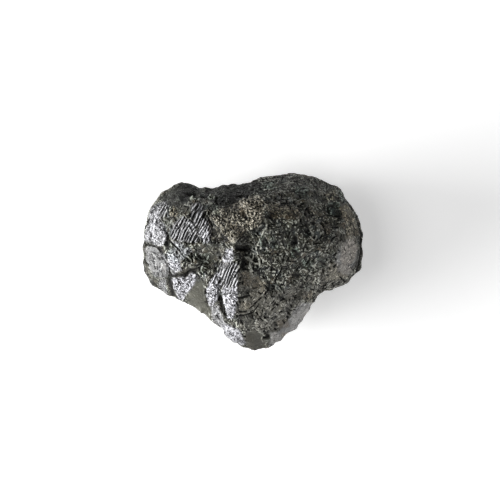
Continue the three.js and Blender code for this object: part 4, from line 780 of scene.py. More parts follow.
# Grooves and pits are sunk, with painted shade inside. Each is half width, strength, path.
GROOVES = {
    "left cap": [
        (1.1, 1, 165.3, 209, 164.2, 211.5, 162.7, 214.5, 161.8, 216.4), (0.7, 0.8, 163, 208.5, 162, 211),
        (0.9, 0.8, 156.8, 219, 157.6, 222, 157.5, 225.5),
        (0.9, 0.7, 152.5, 219.3, 154.5, 218.3, 156.5, 219.3),
        (1.2, 0.8, 149.5, 217, 148.7, 220, 147.5, 224.5), (1, 0.8, 166.7, 215, 166.8, 216.5),
        (0.7, 0.7, 161.2, 221, 162.7, 224.5), (1.3, 0.9, 190.5, 193.3, 193, 194.3, 196, 193.8),
        (1.4, 0.9, 187.8, 193.3, 190, 195), (1.2, 0.8, 185, 205.5, 189, 206.5),
        (0.8, 0.8, 172.2, 211.5, 173, 209.5), (0.6, 0.6, 175.2, 206.5, 177.5, 211),
        (1.2, 0.6, 166, 218.5, 170, 219.5), (1.2, 0.7, 176.3, 219.5, 177.5, 220.5),
    ],
    "left flank": [
        (0.9, 0.8, 162, 224.8, 160.8, 228), (0.8, 0.6, 165.5, 226.3, 164.5, 228),
        (1.2, 0.9, 151, 234, 151.8, 236.5), (0.9, 0.7, 149.5, 230.5, 149.6, 232.5),
        (0.8, 0.7, 149.2, 237.5, 149.6, 238.3), (0.8, 0.7, 163.2, 236.5, 162, 238),
        (0.7, 0.5, 158, 231.5, 158.6, 232.4), (1, 0.8, 143.5, 242, 146, 244.6),
        (1.3, 0.6, 146, 244.6, 150, 245.3, 154, 246.3, 158, 247), (1, 0.8, 150.5, 242.4, 152.8, 242.4),
        (1.2, 0.7, 171, 226, 173, 228.5), (1.1, 0.6, 165.8, 231.5, 167.8, 233),
        (1.6, 0.9, 168.8, 236, 168.3, 239), (1.2, 0.8, 170.2, 240, 170.3, 242),
        (1.4, 0.6, 167.5, 242, 168, 246),
    ],
    "left foot": [
        (1.6, 0.95, 159, 248.2, 161, 250, 162, 253), (1.4, 0.9, 160, 247.8, 163, 248),
        (0.7, 0.6, 152.5, 252, 156, 253.5, 158.5, 255), (0.9, 0.8, 151.7, 254, 152, 257.5),
        (0.9, 0.8, 153, 258.5, 154, 261.5), (1.2, 0.8, 159, 257.5, 160, 259.5),
        (1.4, 0.9, 162.5, 257.8, 162.8, 259), (1.1, 1, 165.8, 255, 167, 257.2),
        (0.9, 0.8, 167.4, 257.5, 167.6, 260), (0.8, 0.8, 169.3, 263.5, 169.7, 264.4),
        (1.2, 0.7, 143.5, 258, 145.5, 262, 148, 265), (1.2, 0.8, 154.5, 267, 155, 268.6),
        (0.9, 0.7, 158, 266.5, 157.5, 270), (1, 0.8, 169.4, 267.5, 169.8, 270, 170.3, 274),
        (0.9, 0.8, 160.2, 270.5, 160.6, 271.5), (1, 0.8, 157.8, 273, 158.2, 276),
        (1, 0.7, 162.8, 276, 163.2, 277), (1.1, 0.8, 177.3, 251.5, 177.6, 253),
        (1.1, 0.7, 175.3, 255, 176, 256), (1.1, 0.8, 177.3, 256.5, 177.8, 258),
        (0.8, 0.8, 172.3, 252.6, 173.3, 252.2), (1, 0.7, 172.2, 256.2, 172.6, 256.6),
    ],
    "left diagonal": [
        (0.8, 1, 171, 241.5, 173.5, 244, 176, 246.5, 179, 249.3, 181, 251.5),
        (0.7, 0.8, 182.5, 254, 184.5, 256.3, 187, 258), (1.2, 0.95, 185, 259.5, 184.3, 261),
        (1.6, 1, 188, 259, 190, 260.5), (1, 0.9, 192.5, 258, 193.2, 262), (1.2, 0.9, 188, 251, 190, 252.3),
        (1, 0.8, 183.5, 246.8, 184.2, 247.6), (0.8, 0.7, 185.5, 242, 187.5, 243.3, 188, 245),
        (1, 0.9, 189.7, 248.3, 189.6, 249.5), (1.2, 0.8, 192.6, 253, 193.4, 256),
        (1, 0.7, 196.8, 258.5, 199, 259.5), (1, 0.7, 182.5, 267.5, 183, 268.5),
    ],
    "ledge": [
        (2.2, 0.6, 172, 275.5, 177, 276, 183, 275.5, 187, 275, 189, 272.5, 191.5, 270.5),
        (1.4, 0.5, 191.5, 270.5, 195, 270, 199, 268.5), (1.5, 0.8, 193.5, 272.3, 195.5, 272.3),
        (1.2, 0.9, 199.8, 268, 200.3, 270),
        (2.8, 0.75, 169.5, 277, 170, 282, 171, 287, 172.5, 293, 173.5, 297),
        (1, 0.8, 171.5, 277.5, 172.3, 279), (0.9, 0.7, 171.8, 281, 173.5, 284.5),
        (0.8, 0.7, 176.2, 290.5, 176.8, 292), (0.8, 0.8, 186.9, 285.5, 187.3, 287, 186, 289),
        (0.8, 0.8, 188.8, 283.5, 189.5, 286, 188.3, 288.5),
    ],
    "middle striated block": [
        (1, 1, 184, 219.5, 182.8, 222.5, 181.3, 226), (0.9, 0.9, 181.3, 226, 179.3, 228.8),
        (0.9, 0.9, 180.9, 230, 179.8, 233), (0.8, 0.8, 179.3, 234, 177.3, 238.5),
        (0.9, 0.9, 174.5, 230.8, 173.6, 234), (0.9, 0.9, 185.6, 217.3, 185.8, 218.6),
        (0.9, 0.9, 187.4, 219.5, 187.6, 221), (0.7, 0.8, 186.3, 223.5, 184.3, 228.5),
        (0.8, 0.9, 189.2, 225.5, 187, 230.5, 184.5, 236, 183.3, 240),
        (0.8, 0.9, 190.4, 232.5, 187.5, 237, 185.8, 241), (1, 1, 189.6, 236.5, 187.9, 239.6),
        (0.8, 0.8, 190.2, 225.5, 192, 229.5, 193.2, 231), (1.7, 1, 194.3, 233.5, 193, 236, 191.3, 239),
        (1.2, 0.9, 192.3, 235.5, 192, 237), (1, 0.9, 197.2, 237.3, 195.3, 240.3, 193.7, 243),
        (1.2, 1, 198.2, 236.2, 199.6, 239.5, 199.4, 242),
        (0.9, 0.8, 190.7, 220.5, 193.3, 222, 194.3, 223.5), (1.1, 0.9, 177.5, 223, 178.3, 226.5),
        (0.9, 0.7, 175.5, 227.5, 178.5, 229.7),
    ],
    "right striated block": [
        (1, 1, 199, 206, 197.3, 209, 195.7, 212.5, 194.3, 216.5, 193.2, 219),
        (0.9, 1, 201.6, 210.3, 200.9, 212), (0.7, 0.7, 200.3, 213, 199.6, 215),
        (0.7, 0.7, 199.6, 216, 198, 220, 196.9, 223.5),
        (0.9, 1, 204.6, 217.5, 203, 220.5, 201.5, 224, 199.6, 228, 198.2, 231),
        (0.6, 0.7, 199, 223.5, 197.6, 227.5), (1.3, 1, 191.8, 214, 191, 217),
        (0.9, 0.8, 204.6, 224.5, 204.4, 226), (0.8, 0.9, 208.5, 224.8, 206.8, 229, 206.4, 231),
        (0.9, 1, 201.8, 234.6, 201.2, 235), (0.8, 0.8, 206.3, 231.2, 206.8, 232.3),
        (0.9, 0.9, 203.2, 238.5, 202.9, 242), (1, 1, 208.2, 239.2, 208.4, 240.4),
        (0.7, 0.7, 206.8, 240.5, 206, 243.5), (1, 0.8, 205.3, 218, 207.3, 220.8),
        (0.9, 0.8, 205.5, 214, 204.6, 217), (0.8, 0.8, 206.4, 213, 206.3, 215),
        (0.9, 0.9, 209.3, 212.5, 209.7, 215),
    ],
    "upper middle": [
        (1.2, 0.8, 202, 196.5, 204, 196.5), (0.7, 0.8, 212.2, 196, 211, 198.3),
        (0.8, 0.8, 214, 197, 212.8, 199), (1.4, 1, 217, 197.5, 216.3, 200, 215.5, 201.8),
        (1, 0.8, 217.5, 203.5, 218.2, 204.5), (1, 0.9, 214, 214.5, 212.4, 216.5),
        (0.9, 0.8, 209.5, 209.5, 212, 212), (1.3, 0.7, 218, 216, 219.5, 215.3),
        (1, 0.9, 251.5, 189, 253, 188.8), (1.3, 0.9, 256, 191, 259.5, 191.5),
        (1.2, 0.8, 248.5, 191.8, 249, 192.3), (0.8, 0.8, 260.5, 188.6, 262.5, 189.6),
        (1, 0.8, 263.8, 190.5, 264.3, 191.2), (1, 0.8, 267, 192, 267.2, 193),
    ],
    "crown": [
        (1.6, 0.9, 209.5, 219.5, 212, 222.5, 214.5, 225, 217.5, 228, 220, 230.5),
        (1.3, 0.7, 220, 230.5, 222, 235, 225, 238.5, 227.5, 241), (1.4, 0.8, 211, 233.5, 213, 235),
        (1, 0.8, 210.6, 239.5, 212, 243), (1, 0.9, 215.5, 240.5, 216, 243), (1, 0.7, 218, 241, 219.5, 243),
        (1.1, 1, 227.2, 216.2, 227.4, 217.3), (1.1, 0.9, 223.4, 224.5, 223.8, 226),
        (0.9, 0.8, 226.8, 222, 226.6, 223), (1.2, 1, 229.7, 221.8, 230, 223),
        (1.1, 0.8, 231.6, 207.3, 231.9, 208.5), (1.5, 0.8, 225.8, 229.8, 229, 230.3),
        (0.9, 0.8, 232.6, 235, 232.8, 236.6), (1, 0.8, 225.6, 231.5, 225.6, 233),
        (1.2, 0.7, 236.2, 217.5, 236.4, 218.6), (0.8, 0.7, 220, 219.5, 221, 221),
        (1, 0.7, 225.2, 213.5, 226, 215.5), (1, 0.7, 238.5, 212, 239, 214),
        (1.3, 0.8, 243.6, 212.5, 244.2, 213.6), (1.2, 0.8, 246.3, 216.5, 247.8, 219, 246.6, 220),
        (0.9, 0.9, 247, 197.5, 247.5, 198), (0.9, 0.8, 253.2, 202.3, 253.8, 202.7),
        (1, 0.9, 259, 199.2, 260, 199.6), (0.9, 0.9, 261.5, 202, 262.5, 203.3),
        (0.9, 0.8, 253, 205.5, 253.6, 206), (0.8, 0.8, 251, 210, 252, 210.3),
        (1, 1, 251.5, 217, 251.8, 215.4, 252.8, 214.4, 253.6, 214.2),
        (0.9, 0.8, 257.5, 212.3, 259.5, 214.5, 261, 217), (0.7, 0.9, 254.7, 221.8, 253.5, 223.8),
        (0.8, 0.8, 257.5, 223.5, 259, 224.5), (0.9, 0.8, 261.5, 218.5, 262.6, 220, 262.8, 222.5),
        (0.9, 0.8, 254.2, 229.3, 254.8, 230), (1.4, 0.7, 252.5, 231.5, 255.5, 231.3),
        (1.2, 0.7, 248.5, 226.5, 249, 229),
    ],
    "upper right": [
        (1, 0.9, 264.5, 201.8, 266, 202.6), (0.9, 0.9, 266.5, 204.5, 269, 202.9),
        (1, 0.9, 263, 204.5, 264, 205.3), (1.4, 0.8, 268, 216.5, 271, 218.5),
        (1, 0.8, 268, 225.5, 269, 225.6), (0.8, 0.8, 270, 224.6, 274.5, 224.5, 277, 224),
        (0.9, 0.9, 278.6, 194, 278.9, 195), (1.1, 0.9, 281, 203.7, 285, 203.7),
        (0.9, 0.9, 285.8, 200.8, 287.5, 204), (1.1, 0.8, 293, 203, 294.5, 204.4),
        (1, 0.8, 273.2, 181.5, 273.4, 182.4), (1, 0.7, 282, 178.5, 283, 177.5),
        (1, 0.7, 276.3, 180.5, 277, 181.3), (0.9, 0.7, 296.5, 188, 297, 189),
        (1.2, 0.8, 299.5, 196, 300, 198.5), (0.9, 0.8, 274.5, 199.5, 276, 198.5),
        (1.1, 0.7, 289.5, 206.5, 290, 209.5), (0.9, 0.7, 292.5, 211.5, 293, 212.5),
        (0.9, 0.6, 281, 196, 281.5, 197),
    ],
    "hollow": [
        (1.3, 0.9, 237.5, 242.5, 240, 240, 243.5, 237.5), (0.8, 0.8, 241.8, 242, 242.8, 242.8),
        (0.9, 0.9, 245, 234, 245.4, 235), (0.8, 0.8, 248.5, 235, 250.3, 238.5),
        (0.8, 0.8, 247.5, 237, 248.3, 239), (2.5, 0.8, 237, 248, 243, 249, 248, 249.5),
        (1, 0.8, 250.5, 243, 253.5, 244.5), (0.9, 0.8, 254, 248.5, 254.5, 249.5),
        (1.3, 1, 258, 247, 258.8, 247), (0.9, 1, 258, 239, 258.4, 239.6),
        (1.1, 0.9, 257.2, 233, 257.6, 234), (0.9, 0.9, 255, 235.5, 257, 236.5),
        (1, 1, 263, 241.5, 262.8, 243.5), (1.6, 0.8, 265, 240.5, 267.5, 243.8),
        (1.4, 0.9, 266.8, 246.5, 268, 247.8), (1.6, 0.7, 263, 244.5, 264.5, 246),
        (0.7, 0.6, 264.5, 237, 264.8, 240), (0.9, 0.9, 264.2, 249.7, 264.8, 250.3),
        (0.9, 0.7, 270.8, 235.5, 272.5, 239), (1, 0.9, 273.8, 231.8, 274.6, 232.6),
        (0.7, 0.8, 273.5, 234.9, 277, 235, 281, 234.3), (1.2, 0.95, 260.6, 260, 261.2, 262),
        (1, 0.9, 258.3, 255.5, 258.9, 256.4), (1.1, 0.8, 253.7, 258.5, 256, 258.8),
        (0.8, 0.8, 255.2, 261.2, 257.5, 261), (1.1, 0.7, 256.5, 265, 258, 267),
        (2.2, 0.85, 244, 259, 243.5, 264, 243, 266), (0.9, 1, 246.2, 262, 246.6, 263.5),
        (1.1, 0.9, 240.8, 264.5, 240.2, 267), (0.9, 0.9, 239.8, 268.5, 239.4, 271),
        (1.8, 0.8, 244, 268.5, 248, 269), (0.8, 0.8, 247.3, 254.5, 247.8, 255.6),
        (0.8, 0.6, 252, 257, 252.5, 254.5), (0.8, 0.7, 253, 264.5, 253.5, 268.5),
        (0.9, 0.9, 253.2, 271.8, 253.6, 272.8),
    ],
    "pale columns": [
        (1.1, 1, 229.8, 264.5, 229.3, 267, 228.3, 271), (1, 1, 233.9, 264.5, 233.5, 267),
        (0.8, 0.9, 232.6, 267, 231.6, 271.5), (0.8, 0.9, 224.5, 263.5, 223, 267, 222, 270),
        (0.6, 0.8, 226.5, 264, 225, 268), (0.6, 0.7, 221.8, 263, 220.3, 267),
        (0.9, 1, 216.6, 274, 216.4, 277.5), (0.9, 0.9, 215.8, 279, 215.2, 282.5),
        (1, 1, 220.6, 278, 220, 281, 219.4, 284), (0.7, 0.8, 218.5, 276.5, 218, 279),
        (0.9, 0.9, 217.5, 262, 216.9, 263.5), (1.2, 0.8, 216.3, 268, 216, 271),
        (1.1, 0.7, 220.3, 257, 220.6, 259), (1.1, 1, 225.7, 253, 225.8, 254.5),
        (0.9, 1, 225.6, 256.5, 225.7, 258.5), (1, 1, 228.4, 258.3, 228.7, 259),
        (1, 1, 231.4, 249.3, 231.9, 249.8), (0.9, 0.9, 233.6, 250.5, 233.8, 252.3),
        (0.9, 0.8, 231.8, 254.5, 232.3, 256), (0.9, 0.9, 234.3, 261.5, 235, 262.2),
        (0.6, 0.8, 238.2, 261, 238.4, 262.6), (0.8, 0.8, 235.4, 267, 235.2, 268.6),
        (1, 1, 235, 274.5, 235.8, 275.5), (0.8, 0.8, 235, 271.4, 236.2, 272),
        (0.8, 0.9, 229.8, 275, 228.5, 279, 227.3, 284), (0.8, 0.9, 231.5, 274.5, 230.3, 279, 229, 284),
        (0.8, 0.8, 233.2, 276, 232, 281, 230.5, 284.5), (0.9, 0.9, 224.8, 279.5, 225.2, 280.5),
        (1, 0.9, 223, 282, 224.5, 283.5), (0.7, 0.8, 222, 276.5, 223.5, 281),
        (1, 0.9, 218.8, 288.5, 219.2, 290), (1, 0.9, 220.6, 290, 221.2, 292),
        (1.3, 0.9, 219.4, 297, 219.2, 300), (1.6, 0.8, 221, 296, 222, 300, 223.3, 305),
        (1.1, 1, 208.5, 293.5, 208.8, 297), (1, 0.9, 205.5, 289, 205.9, 293),
        (0.8, 0.7, 206, 295, 207, 300, 208, 304), (0.9, 0.8, 215.7, 295.5, 216, 297.5),
        (0.8, 0.8, 208.2, 279.5, 208.4, 283), (0.8, 0.8, 210.5, 290, 211.5, 291),
        (1.3, 1, 224, 305, 224.4, 311, 225.4, 314.5, 226, 318), (0.9, 0.9, 224.3, 321, 226.8, 322.5),
        (1.6, 0.6, 221, 303, 222, 309, 222.5, 312), (0.8, 0.7, 216.8, 314.5, 218, 317, 220, 319),
        (0.9, 0.8, 235, 307, 234.9, 311), (1.2, 0.9, 236.3, 301, 236.8, 303),
    ],
    "toothed shell": [
        (0.9, 0.7, 203, 263.8, 201.5, 266, 200.8, 268), (0.9, 0.63, 200.8, 271, 202, 273.3, 202.8, 274.5),
        (0.9, 0.63, 204.5, 263.5, 206.5, 262.7, 208.5, 263.8), (0.8, 0.63, 205, 265.8, 208, 267.3),
        (0.7, 0.49, 205, 268.6, 208, 270), (1, 0.56, 205.5, 257.5, 206.5, 259.5),
        (1.3, 0.63, 210.5, 277.5, 212, 276.5, 213.5, 274), (0.9, 0.56, 206.5, 272, 207.5, 273.5),
    ],
    "right of the columns": [
        (1, 0.9, 237.5, 296.5, 239.5, 297.8), (1.4, 0.85, 239, 297.5, 243, 297.5, 245.5, 296, 249.5, 295),
        (1, 1, 240, 301, 240.4, 302), (0.9, 0.9, 243.3, 301, 243.7, 302),
        (0.9, 0.7, 251.3, 298, 252.5, 296.5), (0.9, 1, 239.7, 282, 241, 282.5),
        (1.2, 0.9, 243.4, 281.5, 243, 283.5), (0.9, 0.8, 240.8, 277.5, 240.6, 279),
        (1.1, 0.7, 248, 292, 249, 293), (1, 0.7, 239.5, 311, 243, 311.5, 246.5, 311),
        (0.8, 0.9, 239.5, 314.8, 245, 314.7, 249.5, 313.5, 253, 312), (0.9, 0.9, 256.5, 312, 257.6, 314),
        (1.2, 0.8, 237.5, 315.5, 238, 317), (1.1, 0.8, 240.5, 320.5, 242.5, 323),
        (0.9, 0.8, 242, 328, 243, 330.5), (0.9, 0.9, 242, 333, 243.5, 336, 245.5, 337.5),
        (0.8, 0.8, 234.6, 328, 234.8, 329.2), (0.8, 0.8, 229.5, 326, 231.2, 326.8),
        (0.9, 0.8, 238, 332.3, 237.6, 333.4), (0.9, 0.7, 238.5, 339.5, 239, 340),
        (0.9, 0.9, 262.7, 276.5, 264.5, 278.5), (1.2, 0.95, 269, 282, 269.6, 284),
        (0.8, 0.9, 265.3, 285, 267, 287.5, 268, 288.5),
        (0.8, 0.9, 270, 285.5, 268, 288.5, 266.5, 291, 265.3, 293.5), (1, 0.9, 272.5, 285.8, 273.8, 286.4),
        (0.8, 0.9, 280.5, 284.8, 283, 284), (1, 0.8, 279.5, 286, 281, 288.5),
        (0.8, 0.8, 258.2, 291, 260.8, 293.5), (0.9, 0.9, 261, 297, 259, 299, 256.5, 302, 255, 303),
        (0.9, 0.9, 265.2, 297, 265.6, 298), (0.7, 0.7, 254.5, 304.5, 251.5, 306.5, 249.8, 308),
        (0.7, 0.7, 258, 305, 255, 309.5, 253.5, 311.5), (0.9, 0.7, 262.3, 309.5, 263, 311.5),
        (0.9, 0.9, 265, 316.5, 264.6, 317.5), (0.9, 0.8, 260, 317.5, 262, 319.5),
        (0.7, 0.9, 274, 300.5, 271.5, 303), (0.7, 0.8, 275.5, 302, 273, 305),
        (1.2, 0.95, 276.3, 304, 277.5, 304.7), (0.9, 0.9, 275, 306.5, 272.8, 308.5, 271.8, 309.5),
        (1, 0.9, 281.7, 299.8, 282.8, 298.2, 284, 298.6), (0.8, 0.7, 277, 291, 275.8, 293),
        (0.9, 0.8, 283.2, 291, 283.7, 292.5), (1, 0.9, 279.5, 312.5, 281.5, 311),
        (1, 0.8, 276, 324.5, 276.8, 325.4), (1.1, 0.8, 270, 327.5, 271.5, 329.5),
        (1.2, 0.8, 274.8, 328.5, 276, 329.5), (1.3, 0.7, 283, 321, 284, 323),
        (1.2, 0.95, 288.3, 312.5, 288.8, 313.6), (1.3, 1, 287.3, 317, 288, 317.6),
        (1.2, 0.95, 290.5, 305, 291.5, 306), (1.8, 0.5, 286.5, 308, 290, 310),
        (1.2, 0.9, 266.5, 335.2, 269, 336), (1.1, 0.8, 263.5, 338, 269, 337.3),
        (1, 0.8, 252.3, 326.7, 255, 327), (0.8, 0.8, 259.6, 326, 260.2, 328),
        (1.1, 0.9, 293.5, 280.5, 295, 281), (1, 0.8, 290.8, 281, 291.3, 283),
        (1, 0.9, 304, 282, 304.4, 283), (1.6, 0.8, 300.5, 287, 303, 287.5),
        (0.9, 0.7, 308, 281.5, 307.5, 284.5), (1.1, 0.8, 311.5, 284, 312.3, 284.4),
        (1, 0.8, 315, 282.3, 315.6, 283.3), (0.9, 0.8, 310.5, 289.2, 313.5, 289.8),
        (1.3, 0.8, 293.5, 296, 295.5, 296.6), (1.1, 0.7, 289.2, 299, 289.6, 299.8),
        (1.2, 0.6, 307, 298, 308, 298.6), (1.8, 0.7, 292.5, 274.5, 298, 275.5),
    ],
    "right lobe": [
        (1, 1, 284.9, 237.2, 285.3, 237.6), (0.8, 0.8, 288.7, 233, 287.3, 237.5),
        (0.9, 0.8, 286, 246, 285.4, 248), (1, 0.8, 289, 247.8, 289.2, 248.6),
        (0.9, 0.9, 277, 253, 277.8, 255), (1, 0.8, 284.8, 253, 283.3, 256.5),
        (0.9, 0.8, 289.9, 253.5, 289.5, 256.5), (0.9, 0.9, 287.9, 257.3, 288, 258.5),
        (0.7, 0.8, 276.5, 259.5, 279, 262, 280.7, 264.3), (0.9, 0.9, 282.5, 259, 282.7, 261),
        (0.9, 1, 281.3, 267.5, 280.5, 270.5),
        (0.7, 0.9, 280.3, 271, 278.5, 274, 276.3, 276.5, 275.3, 280, 274.5, 284),
        (1, 0.9, 271.6, 266, 271.3, 270), (0.8, 0.8, 283, 273.5, 284, 272.3),
        (1, 0.8, 268, 252.8, 268.8, 253.6), (1.8, 1, 294.6, 237, 295.6, 240, 296, 243.5),
        (1.3, 0.9, 293.5, 243, 295, 243.5), (1.6, 0.8, 292.5, 250.5, 296, 251.5),
        (1.1, 0.9, 305.5, 231.5, 308, 234.6), (1, 0.9, 301, 226.7, 302.5, 226.9),
        (1, 1, 304.6, 213, 304.6, 216), (1, 0.95, 308.3, 210, 309.3, 213.5),
        (0.9, 0.9, 306.5, 208, 305.3, 210.5), (0.9, 0.9, 300.2, 219, 299.8, 222),
        (0.9, 0.8, 308.5, 217, 309, 218), (1, 0.9, 311.5, 216, 312.6, 215.5),
        (1, 0.9, 312, 223.8, 313.3, 225), (0.8, 0.8, 300, 206, 303, 204), (1, 0.8, 305.5, 192, 306, 193),
        (1, 0.9, 320.5, 223.5, 322.8, 226, 324.3, 229.5, 325.2, 234), (1, 0.8, 326, 223.3, 328, 222.6),
        (1, 0.9, 327.5, 207, 328, 210, 328.5, 213), (0.9, 0.7, 323.5, 212.5, 326.5, 215.3, 330, 216),
        (1.1, 0.8, 334, 216.3, 339, 216.5), (1.2, 0.7, 334, 227, 337, 227.5),
        (1.1, 0.8, 336.5, 223.2, 337.5, 223), (1, 0.9, 313, 238, 314.4, 237),
        (0.9, 0.9, 319, 238.5, 320.5, 236), (0.7, 0.9, 330, 240.5, 333, 237.5, 335.5, 236.6),
        (0.9, 0.9, 313.5, 243.7, 319.5, 243.3), (0.8, 0.8, 306.5, 242.8, 308, 241.8),
        (0.9, 0.9, 305.8, 247, 306.8, 249.3), (1, 0.8, 302.2, 248.3, 302.6, 249.6),
        (1.1, 0.8, 321, 247.5, 324, 247.8), (0.9, 0.9, 322.3, 251, 322.8, 252),
        (0.9, 0.8, 315, 252, 316.5, 250.8), (0.9, 0.8, 326.3, 252.7, 329, 253.6),
        (0.9, 0.9, 339, 240, 339.4, 240.8), (1, 0.8, 318, 256, 317.5, 258),
        (1.1, 0.95, 325.5, 259, 326, 260), (1, 0.8, 334.9, 258.5, 335.3, 259.8),
        (1.1, 0.8, 337.8, 250, 339, 250.5), (0.7, 0.8, 333, 255.3, 336, 253),
        (1.1, 0.9, 329.8, 261.5, 331.5, 262.8), (1, 0.8, 332.8, 266.5, 335.2, 265),
        (0.8, 0.7, 312.3, 258, 313, 262), (0.9, 0.9, 299.6, 263.7, 299.9, 264.5),
        (0.8, 0.8, 305.5, 263.5, 308.5, 261), (0.9, 0.8, 303.5, 258, 304.8, 256.5),
        (0.8, 0.95, 298.3, 266.5, 296, 270), (0.9, 0.8, 311, 267.8, 313.5, 269.5),
        (2.2, 0.6, 320.5, 262, 324, 264.5), (1, 0.9, 322.2, 269.5, 322.5, 273),
        (1, 0.8, 332, 283.3, 333.3, 284.5), (1, 0.7, 328.8, 267.8, 329.5, 268.6),
        (1.3, 0.7, 340, 277.5, 344.5, 281.5), (0.9, 0.7, 324, 288.5, 327, 289),
        (1.8, 0.8, 361, 231, 361.5, 240, 361.5, 252, 360, 262, 357, 270),
        (1.2, 0.7, 344, 195, 347, 200.5, 351, 207, 356, 214, 358.5, 222, 360.5, 230),
    ],
}


# ---------------------------------------------------------------- the finish of each point

# The finishes of the front: their outlines, and how far to either side of these they fade, in plan units.
FINISHES = {
    "silver_sheen": (SILVER_SHEEN, 1.0),
    "tan": (TAN, 2.0),
    "smooth": (SMOOTH, 2.0),
    "warm": (WARM, 4.0),
    "dark": (DEEP_PLACES_PAINTED_SHADE, 1.5),
}
# The same finishes strewn over the sides and the back: name, largest share, salt, spacing in mm, second
# spacing and its share, and the noise at which a patch starts and at which it is full.
STREWN = (
    ("silver_sheen", 0.6, 41, 0.9, 0.4, 0.5, 0.35, 0.5),
    ("smooth", 0.8, 43, 1.1, 0.4, 0.4, 0.2, 0.35),
    ("tan", 0.6, 45, 1.3, 0.4, 0.4, 0.35, 0.6),
    ("warm", 1.0, 47, 1.5, 0.5, 0.4, 0.0, 0.4),
)
OUTLINE_WANDER = 1.1  # plan units that an outline strays
PATCH_EDGE = 0.9  # plan units to either side of a patch's outline over which it fades


def weights(p, up):
    """The share of each finish at each point, and how pale (tone, partly painted light and shade) and how
    brown (hue) it is.
    """
    front = ramp(up, 0.0, 0.25)
    q = plan_of(p) + OUTLINE_WANDER * np.column_stack((smooth(p, 0.16, 31), smooth(p, 0.16, 32)))
    out = {}
    for name, (regions, soft) in FINISHES.items():
        w = np.zeros(len(p))
        for share, *outline in regions:
            w = np.maximum(w, share * ramp(inside(q, outline), -soft, soft))
        out[name] = w * front
    tone, hue = np.zeros(len(p)), np.zeros(len(p))
    for patches in PATCHES.values():
        for stops, brown, *outline in patches:
            w = ramp(inside(q, outline), -PATCH_EDGE, PATCH_EDGE) * front
            tone += w * (stops - tone)
            hue += w * (brown - hue)
    away = 1 - ramp(up, -0.1, 0.2)
    for name, share, salt, spacing, second_spacing, second_share, start, full in STREWN:
        patch = smooth(p, spacing, salt) + second_share * smooth(p, second_spacing, salt + 1)
        out[name] = np.maximum(out[name], away * share * ramp(patch, start, full))
    out["tone"] = tone + (away * 1.2 * plates(p @ TURN.T, 0.45, 130)[1] - away)
    out["hue"] = hue
    return out


# ---------------------------------------------------------------- the relief

# Heights in mm.
BROAD_PLATES, PLATES, SMALL_PLATES, PLATE_EDGES = 0.026, 0.011, 0.003, 0.006
SCORED_RIDGES, SCORED_GAPS = 0.012, 0.024
PARALLEL_RIDGES = 0.024
CRESTS, CUTS, DARK_PLACES = 0.032, 0.060, 0.07
PALE_PATCHES = 0.022  # for each stop paler
# The grain's height in mm in the silver, tan and plain areas, of its coarse and its fine crystals.
COARSE_GRAIN = (0.028, 0.026, 0.002)
FINE_GRAIN = (0.026, 0.026, 0.002)
GRAIN_LEVEL = 0.42  # where crystals() neither raises nor sinks the surface
# Scored marks: seed, count, and the longest reach, half width and step in mm.
LONG_MARKS = (7, 700, 0.6, 0.020, 0.010)
SHORT_MARKS = (8, 4500, 0.24, 0.015, 0.006)
CLIMB, FALL = 0.62, 0.38  # the shares of a parallel ridge's width that rise and fall


def striation(q, turn, spacing, salt):
    """A count that goes up by one from each parallel ridge to the next."""
    a = math.radians(turn)
    across = q[:, 0] * math.sin(a) + q[:, 1] * math.cos(a)
    along = q[:, 0] * math.cos(a) - q[:, 1] * math.sin(a)
    wander = 0.35 * smooth(np.column_stack((across * 0.25, along * 0.08, across * 0)), 1.0, salt)
    return across / spacing + wander


def striped_zones(q, front):
    """The count of parallel ridges at each point, and how strong they are there."""
    count, striped = np.zeros(len(q)), np.zeros(len(q))
    for number, (turn, spacing, height, *outline) in enumerate(STRIPES):
        s = height * ramp(inside(q, outline), -1.0, 1.0) * front
        count = np.where(s > striped, striation(q, turn, spacing, 60 + 3 * number), count)
        striped = np.maximum(striped, s)
    return count, striped


def sharpened(strength):
    """A narrower line: 1 where a stroke or a mark is strongest, 0 where it is weak."""
    return np.clip(2.2 * strength - 0.8, 0, 1)


def plated(p, c):
    """The heights of broad, middling and small plates, and the middling ones' numbers, gaps and arrises."""
    broad = plates(c + 0.05 * smooth(p, 0.3, 5)[:, None], 0.5, 70)[0]
    drift = 0.03 * np.column_stack((smooth(p, 0.15, 6), smooth(p, 0.15, 7), smooth(p, 0.15, 8)))
    plate, number, border, kind = plates((c + drift) * (1, 0.7, 1), 0.20, 90)
    edge = np.clip(1.3 - border / 0.028, 0, 1)
    small = plates((c + drift) * (0.6, 1, 1), 0.095, 120)[0]
    return broad, plate, small, number, edge * (kind < 0.55), edge * (kind > 0.72)


def both_scored(p, tree):
    """The long and the short scored marks together: pale ones, dark ones and their height."""
    long_pale, long_dark, steps = scored(p, tree, *LONG_MARKS)
    short_pale, short_dark, ticks = scored(p, tree, *SHORT_MARKS)
    return np.maximum(long_pale, short_pale), np.maximum(long_dark, short_dark), steps + ticks


def from_place(q, x, y):
    return np.hypot(q[:, 0] - x, q[:, 1] - y)


